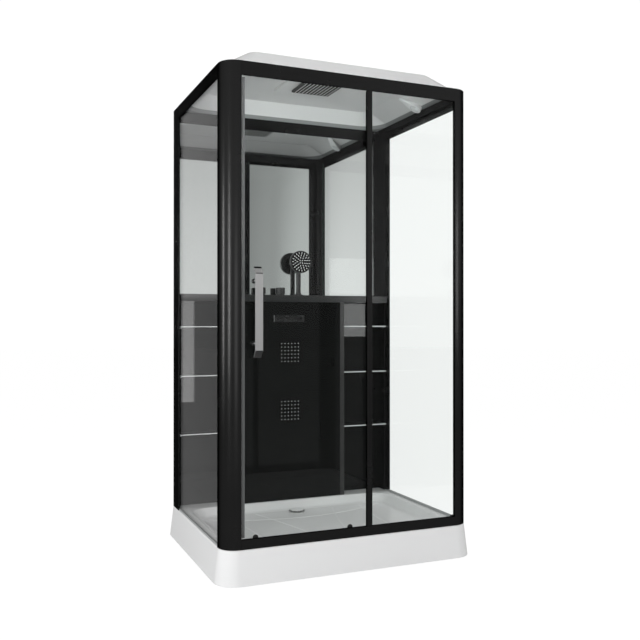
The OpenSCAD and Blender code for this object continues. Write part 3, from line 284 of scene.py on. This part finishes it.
def fine_grain_group():
    """Moulded or coated skin: a close grain, and slow patches that spread its gloss."""
    inputs = [("Grain_Scale", "NodeSocketFloat"), ("Patch_Scale", "NodeSocketFloat")]
    group, start, end = new_group("fine_grain", inputs, ["Grain", "Patches"])
    nodes, links = group.nodes, group.links
    place = nodes.new("ShaderNodeTexCoord")
    layers = (("Grain_Scale", GRAIN_DETAIL, "Grain"), ("Patch_Scale", PATCH_DETAIL, "Patches"))
    for scale, detail, result in layers:
        noise = nodes.new("ShaderNodeTexNoise")
        noise.inputs["Detail"].default_value = detail
        links.new(place.outputs["Object"], noise.inputs["Vector"])
        links.new(start.outputs[scale], noise.inputs["Scale"])
        links.new(noise.outputs["Fac"], end.inputs[result])
    return group


def brush_lines_group():
    """Lines left by a brush along one axis."""
    group, start, end = new_group("brush_lines", [("Across", "NodeSocketVector")], ["Lines"])
    nodes, links = group.nodes, group.links
    place = nodes.new("ShaderNodeTexCoord")
    stretch = nodes.new("ShaderNodeVectorMath")
    stretch.operation = "MULTIPLY"
    noise = nodes.new("ShaderNodeTexNoise")
    noise.inputs["Scale"].default_value = 1.0
    noise.inputs["Detail"].default_value = BRUSH_DETAIL
    links.new(place.outputs["Object"], stretch.inputs[0])
    links.new(start.outputs["Across"], stretch.inputs[1])
    links.new(stretch.outputs["Vector"], noise.inputs["Vector"])
    links.new(noise.outputs["Fac"], end.inputs["Lines"])
    return group


def height_band_group():
    """One inside a band of heights and zero outside it."""
    inputs = [("Low", "NodeSocketFloat"), ("High", "NodeSocketFloat")]
    group, start, end = new_group("height_band", inputs, ["Inside"])
    nodes, links = group.nodes, group.links
    place = nodes.new("ShaderNodeTexCoord")
    height = axes(nodes, links, place.outputs["Object"])["Z"]
    above = worked(nodes, links, "GREATER_THAN", height, start.outputs["Low"])
    below = worked(nodes, links, "LESS_THAN", height, start.outputs["High"])
    links.new(worked(nodes, links, "MULTIPLY", above, below), end.inputs["Inside"])
    return group


FINE_GRAIN = fine_grain_group()
BRUSH_LINES = brush_lines_group()
HEIGHT_BAND = height_band_group()


# Materials


def new_material(name):
    """A new material with its nodes and links."""
    material = bpy.data.materials.new(name)
    material.use_nodes = True
    return material, material.node_tree.nodes, material.node_tree.links


def glossed(nodes, links, mask, gloss):
    """A finish's roughness runs between two values with a mask."""
    roughness = ranged(nodes, links, mask, *MASK_SPAN, *gloss, smooth=False)
    links.new(roughness, nodes["Principled BSDF"].inputs["Roughness"])


def two_tones(nodes, links, mask, color, change):
    """A finish's colour drifts a little to a second tone with a mask."""
    mix = nodes.new("ShaderNodeMix")
    mix.data_type = "RGBA"
    mix.inputs["A"].default_value = (*color, 1)
    mix.inputs["B"].default_value = (*[min(1, c * change) for c in color], 1)
    links.new(mask, mix.inputs["Factor"])
    links.new(mix.outputs["Result"], nodes["Principled BSDF"].inputs["Base Color"])


def recolored(nodes, links, mask, color):
    """A finish's colour gives way to another where a mask is one."""
    mix = nodes.new("ShaderNodeMix")
    mix.data_type = "RGBA"
    mix.inputs["B"].default_value = (*color, 1)
    base = nodes["Principled BSDF"].inputs["Base Color"]
    links.new(base.links[0].from_socket, mix.inputs["A"])
    links.new(mask, mix.inputs["Factor"])
    links.new(mix.outputs["Result"], base)


def bumped(nodes, links, height, depth, distance):
    """A finish's fine relief."""
    bump = nodes.new("ShaderNodeBump")
    bump.inputs["Strength"].default_value = depth
    bump.inputs["Distance"].default_value = distance
    links.new(height, bump.inputs["Height"])
    links.new(bump.outputs["Normal"], nodes["Principled BSDF"].inputs["Normal"])


def coated(name, color, gloss, grain=900, depth=0.02, change=1.08, metallic=0, specular=0.5, grazing=1):
    """An opaque finish with a fine grain, patches of gloss and a slight drift of colour."""
    material, nodes, links = new_material(name)
    skin = effect(nodes, FINE_GRAIN, Grain_Scale=grain, Patch_Scale=COAT_PATCHES)
    surface = nodes["Principled BSDF"]
    surface.inputs["Metallic"].default_value = metallic
    surface.inputs["Specular IOR Level"].default_value = specular
    surface.inputs["Specular Tint"].default_value = (grazing, grazing, grazing, 1)
    bumped(nodes, links, skin.outputs["Grain"], depth, COAT_RELIEF)
    glossed(nodes, links, skin.outputs["Patches"], gloss)
    two_tones(nodes, links, skin.outputs["Patches"], color, change)
    return material


def brushed(name, color, gloss):
    """Metal brushed along one axis."""
    material, nodes, links = new_material(name)
    brush = effect(nodes, BRUSH_LINES, Across=BRUSH_ACROSS)
    nodes["Principled BSDF"].inputs["Metallic"].default_value = 1.0
    bumped(nodes, links, brush.outputs["Lines"], BRUSH_DEPTH, BRUSH_RELIEF)
    glossed(nodes, links, brush.outputs["Lines"], gloss)
    two_tones(nodes, links, brush.outputs["Lines"], color, BRUSH_CHANGE)
    return material


def clear(name, tint, facing, grazing):
    """A clear sheet: it shows what is behind it, and mirrors more the flatter it is seen."""
    material, nodes, links = new_material(name)
    skin = effect(nodes, FINE_GRAIN, Patch_Scale=GLASS_PATCHES)
    angle = nodes.new("ShaderNodeLayerWeight")
    angle.inputs["Blend"].default_value = 0.5
    curve = worked(nodes, links, "POWER", angle.outputs["Facing"], MIRROR_RISE)
    share = worked(nodes, links, "MULTIPLY_ADD", curve, grazing, facing)
    through = nodes.new("ShaderNodeBsdfTransparent")
    through.inputs["Color"].default_value = (*tint, 1)
    surface = nodes["Principled BSDF"]
    surface.inputs["Base Color"].default_value = (1, 1, 1, 1)
    surface.inputs["Metallic"].default_value = 1.0
    glossed(nodes, links, skin.outputs["Patches"], GLASS_GLOSS)
    mix = nodes.new("ShaderNodeMixShader")
    links.new(share, mix.inputs["Fac"])
    links.new(through.outputs["BSDF"], mix.inputs[1])
    links.new(surface.outputs["BSDF"], mix.inputs[2])
    links.new(mix.outputs["Shader"], nodes["Material Output"].inputs["Surface"])
    return material


def shade_bar_top():
    """Painted shade: the handle's upper end is nearly black along its top."""
    tree = MATERIALS["bend_end"].node_tree
    band = effect(tree.nodes, HEIGHT_BAND, Low=BAR_TOP - BAR_TOP_SHADE, High=BAR_TOP + BAR_TOP_SHADE)
    recolored(tree.nodes, tree.links, band.outputs["Inside"], (0.01, 0.01, 0.01))


def shade_roof_foot():
    """Painted shade: the roof is grey along its foot, on the faces that look down."""
    tree = MATERIALS["roof_white"].node_tree
    nodes, links = tree.nodes, tree.links
    band = effect(nodes, HEIGHT_BAND, Low=0.0, High=ROOF_FOOT + ROOF_SHADE)
    facing = nodes.new("ShaderNodeNewGeometry")
    down = worked(nodes, links, "LESS_THAN", axes(nodes, links, facing.outputs["Normal"])["Z"], 0.0)
    mask = worked(nodes, links, "MULTIPLY", band.outputs["Inside"], down)
    recolored(nodes, links, mask, (0.3, 0.31, 0.31))


def stripe_rain_head():
    """A light rib runs from front to back under each row of nozzles."""
    tree = MATERIALS["ribbed_silicone"].node_tree
    nodes, links = tree.nodes, tree.links
    place = nodes.new("ShaderNodeTexCoord")
    across = axes(nodes, links, place.outputs["Object"])["X"]
    rows = worked(nodes, links, "DIVIDE", across, RIB_PITCH)
    swing = worked(nodes, links, "PINGPONG", rows, 0.5)
    on_rib = worked(nodes, links, "GREATER_THAN", swing, 0.5 - RIB_SHARE)
    recolored(nodes, links, on_rib, (0.5, 0.5, 0.5))


MATERIALS = {name: coated(name, **look) for name, look in COATS.items()}
MATERIALS.update({name: brushed(name, **look) for name, look in BRUSHED.items()})
MATERIALS.update({name: clear(name, **look) for name, look in SHEETS.items()})
shade_bar_top()
shade_roof_foot()
stripe_rain_head()


# Modelling tools


def hold(piece):
    """Selects one piece alone."""
    if bpy.context.object is not None and bpy.context.object.mode != "OBJECT":
        bpy.ops.object.mode_set(mode="OBJECT")
    bpy.ops.object.select_all(action="DESELECT")
    piece.select_set(True)
    bpy.context.view_layer.objects.active = piece


def round_edges(piece, width, segments=2, sharp=SHARP_ANGLE):
    """Rounds every edge of a piece that is sharper than an angle."""
    hold(piece)
    bevel = piece.modifiers.new("edges", "BEVEL")
    bevel.width = width
    bevel.segments = segments
    bevel.limit_method = "ANGLE"
    bevel.angle_limit = math.radians(sharp)
    bpy.ops.object.modifier_apply(modifier=bevel.name)


def round_some(piece, width, segments, test):
    """Rounds the edges of a piece whose middle and direction pass a test."""
    hold(piece)
    bpy.ops.object.mode_set(mode="EDIT")
    bpy.ops.mesh.select_all(action="DESELECT")
    bpy.ops.mesh.select_mode(type="EDGE")
    bpy.ops.object.mode_set(mode="OBJECT")
    for edge in piece.data.edges:
        first, second = [piece.data.vertices[v].co for v in edge.vertices]
        edge.select = test((first + second) / 2, (second - first).normalized())
    bpy.ops.object.mode_set(mode="EDIT")
    bpy.ops.mesh.bevel(offset=width, segments=segments, profile=0.5)
    bpy.ops.object.mode_set(mode="OBJECT")


def soften(piece, sharp=SMOOTH_ANGLE):
    """Smooth shading that keeps the sharp edges and leaves the large faces flat."""
    hold(piece)
    bpy.ops.object.shade_smooth_by_angle(angle=math.radians(sharp), keep_sharp_edges=False)
    flat = piece.modifiers.new("flat", "WEIGHTED_NORMAL")
    flat.keep_sharp = True
    bpy.ops.object.modifier_apply(modifier=flat.name)


def settle(piece):
    """Puts a piece's place into its mesh, with its faces outwards."""
    hold(piece)
    bpy.ops.object.transform_apply(location=True, rotation=True, scale=True)
    bpy.ops.object.mode_set(mode="EDIT")
    bpy.ops.mesh.select_all(action="SELECT")
    bpy.ops.mesh.normals_make_consistent(inside=False)
    bpy.ops.object.mode_set(mode="OBJECT")


def shape_of(node):
    """A copy of a CAD node's mesh, merged, with its flat faces whole."""
    piece = bpy.data.objects.new(node + "_finish", frame["nodes"][node].data.copy())
    bpy.context.scene.collection.objects.link(piece)
    hold(piece)
    bpy.ops.mesh.customdata_custom_splitnormals_clear()
    bpy.ops.object.mode_set(mode="EDIT")
    bpy.ops.mesh.select_all(action="SELECT")
    bpy.ops.mesh.remove_doubles(threshold=MERGE)
    bpy.ops.mesh.dissolve_limited(angle_limit=math.radians(FLAT_ANGLE))
    bpy.ops.object.mode_set(mode="OBJECT")
    return piece


def dress(piece, node, finish=None):
    """A piece that stands for a CAD node joins the node's body and takes a finish, the one its slot
    names unless another is given.
    """
    piece.data.materials.clear()
    piece.data.materials.append(MATERIALS[finish or SLOT_OF[node]])
    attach(piece, BODY_OF[node])
    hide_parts(node)
    return piece


def finished(node, width, segments=2, finish=None, sharp=SHARP_ANGLE):
    """A CAD node's own shape with rounded edges and its finish."""
    piece = shape_of(node)
    if width:
        round_edges(piece, width, segments, sharp)
    soften(piece)
    return dress(piece, node, finish)


def all_finished(width, segments, *nodes):
    """Several CAD nodes with the same rounding."""
    for node in nodes:
        finished(node, width, segments)


def paint(piece, material, test):
    """The faces of a piece whose middle and normal pass a test take another finish."""
    piece.data.materials.append(MATERIALS[material])
    last = len(piece.data.materials) - 1
    for face in piece.data.polygons:
        if test(face.center, face.normal):
            face.material_index = last
    return piece


def turned(name, profile, sides=64):
    """A round piece along +Z: a disc drawn out step by step to each radius and height."""
    bpy.ops.object.select_all(action="DESELECT")
    radius, height = profile[0]
    bpy.ops.mesh.primitive_circle_add(
        vertices=sides, radius=radius, fill_type="NGON", location=(0, 0, height))
    piece = bpy.context.object
    piece.name = name
    hold(piece)
    bpy.ops.object.transform_apply(location=True, rotation=True, scale=True)
    bpy.ops.object.mode_set(mode="EDIT")
    bpy.ops.mesh.select_all(action="SELECT")
    for next_radius, next_height in profile[1:]:
        growth = next_radius / radius
        bpy.ops.mesh.extrude_region_move(TRANSFORM_OT_translate={"value": (0, 0, next_height - height)})
        bpy.ops.transform.resize(value=(growth, growth, 1), center_override=(0, 0, next_height))
        radius, height = next_radius, next_height
    bpy.ops.object.mode_set(mode="OBJECT")
    return piece


def copied(piece, location, turn):
    """A copy of a piece with its own mesh, moved and turned about Y."""
    copy = piece.copy()
    copy.data = piece.data.copy()
    bpy.context.scene.collection.objects.link(copy)
    copy.location = location
    copy.rotation_euler = (0, turn, 0)
    return copy


def joined(pieces, name):
    """Several meshes as one piece."""
    bpy.ops.object.select_all(action="DESELECT")
    for piece in pieces:
        piece.select_set(True)
    bpy.context.view_layer.objects.active = pieces[0]
    bpy.ops.object.join()
    pieces[0].name = name
    return pieces[0]


# Frame, panels and glass


def door_seal():
    """The door's edge seal is pale, with a darker lip beyond the glass."""
    lip_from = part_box("door_glass")[0].x + 0.0005
    seal = finished("door_edge_seal", HAIRLINE)
    paint(seal, "lip_grey", lambda centre, normal: centre.x > lip_from)


def mirror():
    """The mirror with a dark back and dark edges."""
    panel = finished("mirror_panel", HAIRLINE)
    paint(panel, "black_seal", lambda centre, normal: normal.y > -LOOKS_ALONG)


def pane(node, edge_finish, thin_axis, face_finish):
    """A clear sheet with ground edges."""
    sheet = finished(node, HAIRLINE, 1, face_finish)
    return paint(sheet, edge_finish, lambda centre, normal: abs(normal[thin_axis]) < LOOKS_ALONG)


all_finished(SOFT_EDGE, 3, "front_column_left", "front_column_right")
all_finished(
    EDGE, 2, "front_top_rail", "front_bottom_rail", "side_top_rail_left", "side_top_rail_right",
    "rear_top_rail", "rear_post_left", "rear_post_right", "fixed_stile",
)
all_finished(HAIRLINE, 2, "side_seals", "door_wiper", "door_stops")
finished("column_seal", HAIRLINE, finish="pale_seal")
door_seal()
mirror()
all_finished(HAIRLINE, 2, "niche_panel_left", "niche_panel_right", "centre_panel", "centre_trims")
finished("ledge", FULL_EDGE, 3)
for side in ("side_glass_left", "side_glass_right"):
    sheet = pane(side, "glass_edge", 0, "side_glass")
    # The rear edges of the side panes are painted black as shade inside the rear posts
    paint(sheet, "black_seal", lambda centre, normal: normal.y > LOOKS_ALONG)
pane("fixed_glass", "glass_edge", 1, "clear_glass")
pane("door_glass", "glass_edge", 1, "clear_glass")
pane("shelves_left", "shelf_edge", 2, "shelf_glass")
pane("shelves_right", "shelf_edge", 2, "shelf_glass")


# Tray and drain


def tray():
    """The tray with a softened basin and raised lines on its floor painted brighter as highlight."""
    rim_round, floor_round = 0.003, 0.012
    on_edge, on_curve = 0.001, 0.0008
    line_low, line_high = BASIN_FLOOR + 0.0003, BASIN_FLOOR + 0.0012
    line_reach = BASIN_X - 0.06
    middle = (BASIN_FRONT + BASIN_REAR) / 2
    half_x = BASIN_X - FLOOR_INSET - FLOOR_CORNER
    half_y = (BASIN_REAR - BASIN_FRONT) / 2 - FLOOR_INSET - FLOOR_CORNER

    def on_rim(centre, along):
        in_depth = BASIN_FRONT - on_edge < centre.y < BASIN_REAR + on_edge
        return in_depth and abs(centre.x) < BASIN_X + on_edge and abs(centre.z - BASIN_RIM) < NEAR

    def on_floor(centre, along):
        out_x, out_y = abs(centre.x) - half_x, abs(centre.y - middle) - half_y
        off = math.hypot(max(out_x, 0), max(out_y, 0)) + min(max(out_x, out_y), 0) - FLOOR_CORNER
        return abs(off) < on_curve and abs(centre.z - BASIN_FLOOR) < NEAR

    def on_line(centre, normal):
        return line_low < centre.z < line_high and abs(centre.x) < line_reach

    piece = shape_of("tray_shell")
    round_some(piece, rim_round, 3, on_rim)
    round_some(piece, floor_round, 4, on_floor)
    soften(piece)
    dress(piece, "tray_shell")
    # The raised lines are painted brighter as highlight
    paint(piece, "line_highlight", on_line)


def drain_cap():
    """The cover with a soft rim, its top painted light as a highlight over a side painted in shade."""
    rim_round, lit, lit_depth = 0.0015, 0.7, 0.003
    piece = shape_of("drain_cover")
    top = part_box("drain_cover")[1].z
    round_some(piece, rim_round, 3, lambda centre, along: centre.z > top - NEAR)
    soften(piece)
    dress(piece, "drain_cover", "cap_shade")
    # The upward faces of the top are painted light as a highlight
    paint(piece, "cap_top_highlight", lambda centre, normal: normal.z > lit and centre.z > top - lit_depth)


tray()
finished("tray_frame", TUBE_EDGE)
finished("foot_bolts", THIN_EDGE)
finished("foot_pads", PAD_EDGE)
finished("drain_trap", EDGE)
drain_cap()
finished("frame_screws", FINE_EDGE, finish="screw_black")


# Door fittings


def handle():
    """The brushed bar with painted shade in the crease at each bend and on its lower bend, and its
    posts with black washers.
    """
    bend_round, crease, beyond, washer = 0.0022, 0.0016, 0.002, 0.0035
    near_bend, leans, lies_across = 0.001, 0.3, 0.9
    low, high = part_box("handle_bar")
    bends = (low.z + BAR_BEND, high.z - BAR_BEND)

    def to_bend(centre):
        return min(abs(centre.z - z) for z in bends)

    def at_bend(centre, along):
        in_front = centre.y < low.y + near_bend
        return in_front and abs(along.x) > lies_across and to_bend(centre) < near_bend

    def in_crease(centre, normal):
        return normal.y < -leans and to_bend(centre) < crease and abs(normal.x) < leans

    bar = shape_of("handle_bar")
    round_some(bar, bend_round, 1, at_bend)
    round_edges(bar, EDGE, 2, 50.0)
    soften(bar)
    dress(bar, "handle_bar")
    # The lower bend's downward faces are painted in shade
    paint(bar, "bend_shade", lambda centre, normal: normal.z < -leans and centre.z < bends[0] - beyond)
    # The upper bend takes the finish with painted shade along its top
    paint(bar, "bend_end", lambda centre, normal: normal.y < -leans and centre.z > bends[1] + beyond)
    # The creases at the bends are painted in shade
    paint(bar, "crease_shade", in_crease)
    washer_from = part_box("door_glass")[0].y - washer
    posts = finished("handle_posts", HAIRLINE)
    paint(posts, "fitting_black", lambda centre, normal: centre.y > washer_from)


all_finished(FULL_EDGE, 3, "door_hangers", "lower_roller_mounts")
all_finished(
    HAIRLINE, 2, "upper_roller_left", "upper_roller_right", "lower_roller_left", "lower_roller_right",
)
handle()


# Water fittings


def shower_face():
    """A black nozzle face with rings of light seeds that point outwards."""
    low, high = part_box("hand_shower_face")
    middle = Vector(((low.x + high.x) / 2, high.y, (low.z + high.z) / 2))
    r = (high.x - low.x) / 2
    steps = [(r - 0.001, 0.0), (r, 0.0005), (r, 0.0012), (r - 0.002, 0.002), (0.012, 0.0024)]
    plate = turned("shower_face", steps)
    plate.location = middle
    plate.rotation_euler = (math.radians(90), 0, 0)
    settle(plate)
    bpy.ops.object.select_all(action="DESELECT")
    bpy.ops.mesh.primitive_uv_sphere_add(segments=8, ring_count=4, radius=1, location=(0, 0, 0))
    seed = bpy.context.object
    seed.scale = SEED_SIZE
    settle(seed)
    seeds = []
    for ring, count in SEED_RINGS:
        for i in range(count):
            angle = 2 * math.pi * (i + 0.5) / count
            out = Vector((ring * math.cos(angle), -SEED_OUT, ring * math.sin(angle)))
            seeds.append(copied(seed, middle + out, -angle))
    bpy.data.objects.remove(seed)
    seeds = joined(seeds, "shower_seeds")
    settle(seeds)
    soften(seeds)
    soften(plate)
    dress(plate, "hand_shower_face", "gloss_black")
    seeds.data.materials.append(MATERIALS["seed_grey"])
    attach(seeds, BODY_OF["hand_shower_face"])


def rain_plate():
    """A ribbed black plate with light nozzle tips."""
    tip_to = RAIN_LOW.z + RAIN_TIP
    plate = finished("rain_head_mat", 0, finish="ribbed_silicone")
    paint(plate, "silicone", lambda centre, normal: centre.z < tip_to and normal.z < -LOOKS_ALONG)


def jets():
    """Black nozzle mats with grey tips."""
    tip_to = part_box("jet_mats")[0].y + JET_TIP
    mats = finished("jet_mats", 0, finish="dark_silicone")
    paint(mats, "jet_grey", lambda centre, normal: centre.y < tip_to)


def slot_spout():
    """The spout with its frame painted lighter at both ends as highlight, around its dark mouth."""
    frame_width, frame_depth = 0.009, 0.0035
    low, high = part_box("spout")

    def on_frame(centre, normal):
        at_end = centre.x < low.x + frame_width or centre.x > high.x - frame_width
        return at_end and centre.y < low.y + frame_depth

    # The frame's ends are painted light as highlight
    paint(finished("spout", EDGE), "spout_end_highlight", on_frame)


all_finished(
    EDGE, 2, "mixer_body", "temperature_spindle", "selector_spindle", "temperature_knob",
    "selector_knob", "hand_shower", "shower_socket",
)
all_finished(THIN_EDGE, 2, "rain_head", "shelf_clips")
for jet in ("jet_plate_upper", "jet_plate_lower"):
    finished(jet, EDGE, finish="gloss_black")
shower_face()
rain_plate()
jets()
slot_spout()


# Roof and lamp


def lamp():
    """The teardrop housing with a soft edge, and a lens in a grey seat."""
    housing_round, lens_round, seat_share = 0.003, 0.002, 0.86
    housing = shape_of("lamp_housing")
    round_edges(housing, housing_round, 3, 30.0)
    soften(housing, 50.0)
    dress(housing, "lamp_housing")
    low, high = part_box("lamp_lens")
    centre_at = (low + high) / 2
    seat_from = seat_share * (high.y - low.y) / 2

    def on_seat(centre, normal):
        return math.hypot(centre.x - centre_at.x, centre.y - centre_at.y) > seat_from

    paint(finished("lamp_lens", lens_round, 3, sharp=20.0), "lamp_ring", on_seat)


finished("roof_dome", ROOF_EDGE, 3, "roof_white", 30.0)
lamp()


# Floor, light and camera


def surroundings(nodes, links):
    """The studio's brightness in reflections, and its soft fill, which is weaker from above."""
    place = nodes.new("ShaderNodeTexCoord")
    toward = axes(nodes, links, place.outputs["Generated"])
    front = nodes.new("ShaderNodeValToRGB")
    front.color_ramp.interpolation = "EASE"
    stops = front.color_ramp.elements
    while len(stops) < len(FRONT_WALL):
        stops.new(0.5)
    for stop, (position, level) in zip(stops, FRONT_WALL):
        stop.position = position
        stop.color = (level, level, level, 1)
    links.new(toward["X"], front.inputs["Fac"])
    walls = nodes.new("ShaderNodeMix")
    walls.inputs["B"].default_value = BACK_WALL
    links.new(ranged(nodes, links, toward["Y"], *BACK_STARTS), walls.inputs["Factor"])
    links.new(front.outputs["Color"], walls.inputs["A"])
    level = walls.outputs["Result"]
    for band in (WALL_FOOT, WALL_TOP):
        level = worked(nodes, links, "MULTIPLY", level, ranged(nodes, links, toward["Z"], *band))
    fill = ranged(nodes, links, toward["Z"], *FILL_STEP)
    return worked(nodes, links, "ADD", level, DIM_LEVEL), fill


def seen_white(nodes, links, level, seen, fill):
    """The level in reflections, plain white for the camera and soft fill for matt surfaces."""
    path = nodes.new("ShaderNodeLightPath")
    white = worked(nodes, links, "MULTIPLY", path.outputs["Is Camera Ray"], seen)
    matt = worked(nodes, links, "MULTIPLY", path.outputs["Is Diffuse Ray"], fill)
    level = worked(nodes, links, "MAXIMUM", matt, level)
    return worked(nodes, links, "MAXIMUM", level, white), path


def floor_material():
    """A pale floor that keeps the shadow and is as bright as the wall behind it."""
    material, nodes, links = new_material("studio_floor")
    surface = nodes["Principled BSDF"]
    surface.inputs["Base Color"].default_value = FLOOR_COLOR
    surface.inputs["Roughness"].default_value = 0.9
    surface.inputs["Specular IOR Level"].default_value = 0.1
    level, path = seen_white(nodes, links, DIM_LEVEL, FLOOR_WHITE, FLOOR_FILL)
    white = nodes.new("ShaderNodeEmission")
    links.new(level, white.inputs["Strength"])
    seen = worked(
        nodes, links, "MAXIMUM", path.outputs["Is Camera Ray"], path.outputs["Is Glossy Ray"])
    mix = nodes.new("ShaderNodeMixShader")
    links.new(worked(nodes, links, "MULTIPLY", seen, FLOOR_SHARE), mix.inputs["Fac"])
    links.new(surface.outputs["BSDF"], mix.inputs[1])
    links.new(white.outputs["Emission"], mix.inputs[2])
    links.new(mix.outputs["Shader"], nodes["Material Output"].inputs["Surface"])
    return material


def studio_floor():
    """A wide round floor."""
    bpy.ops.object.select_all(action="DESELECT")
    bpy.ops.mesh.primitive_circle_add(
        vertices=96, radius=FLOOR_RADIUS, fill_type="NGON", location=(0, 0, 0))
    floor = bpy.context.object
    floor.name = "studio_floor"
    settle(floor)
    floor.data.materials.append(floor_material())


def studio_walls():
    """Soft surroundings that are dimmer in front of the cabin."""
    world = bpy.data.worlds.new("studio")
    bpy.context.scene.world = world
    world.use_nodes = True
    nodes, links = world.node_tree.nodes, world.node_tree.links
    backdrop = nodes["Background"]
    backdrop.inputs["Color"].default_value = (1, 1, 1, 1)
    walls, fill = surroundings(nodes, links)
    level, _ = seen_white(nodes, links, walls, WHITE_LEVEL, fill)
    links.new(level, backdrop.inputs["Strength"])


def first_mirror_only(light):
    """A lamp that mirrors show, but matt surfaces don't gather from mirrors."""
    light.use_nodes = True
    nodes, links = light.node_tree.nodes, light.node_tree.links
    path = nodes.new("ShaderNodeLightPath")
    share = worked(nodes, links, "LESS_THAN", path.outputs["Diffuse Depth"], 0.5)
    links.new(share, nodes["Emission"].inputs["Strength"])


def studio_lamps():
    """Soft rectangular lamps, some of which show in mirrors."""
    for name, at, size, power, aim, mirrored, spread in LAMPS:
        light = bpy.data.lights.new(name, "AREA")
        light.spread = math.radians(spread)
        light.shape = "RECTANGLE"
        light.size, light.size_y = size
        light.energy = power
        holder = bpy.data.objects.new(name, light)
        bpy.context.scene.collection.objects.link(holder)
        holder.location = at
        holder.rotation_euler = (Vector(aim) - Vector(at)).to_track_quat("-Z", "Y").to_euler()
        holder.visible_camera = False
        holder.visible_glossy = mirrored
        if mirrored:
            first_mirror_only(light)


def studio_camera():
    """The camera where the photograph was taken from."""
    camera = bpy.data.objects.new("camera", bpy.data.cameras.new("camera"))
    bpy.context.scene.collection.objects.link(camera)
    camera.location = CAMERA_AT
    camera.rotation_euler = [math.radians(a) for a in CAMERA_TURN]
    camera.data.lens = CAMERA_LENS
    camera.data.sensor_width = CAMERA_SENSOR
    bpy.context.scene.camera = camera
    bpy.context.scene.view_settings.view_transform = "Standard"


studio_floor()
studio_walls()
studio_lamps()
studio_camera()
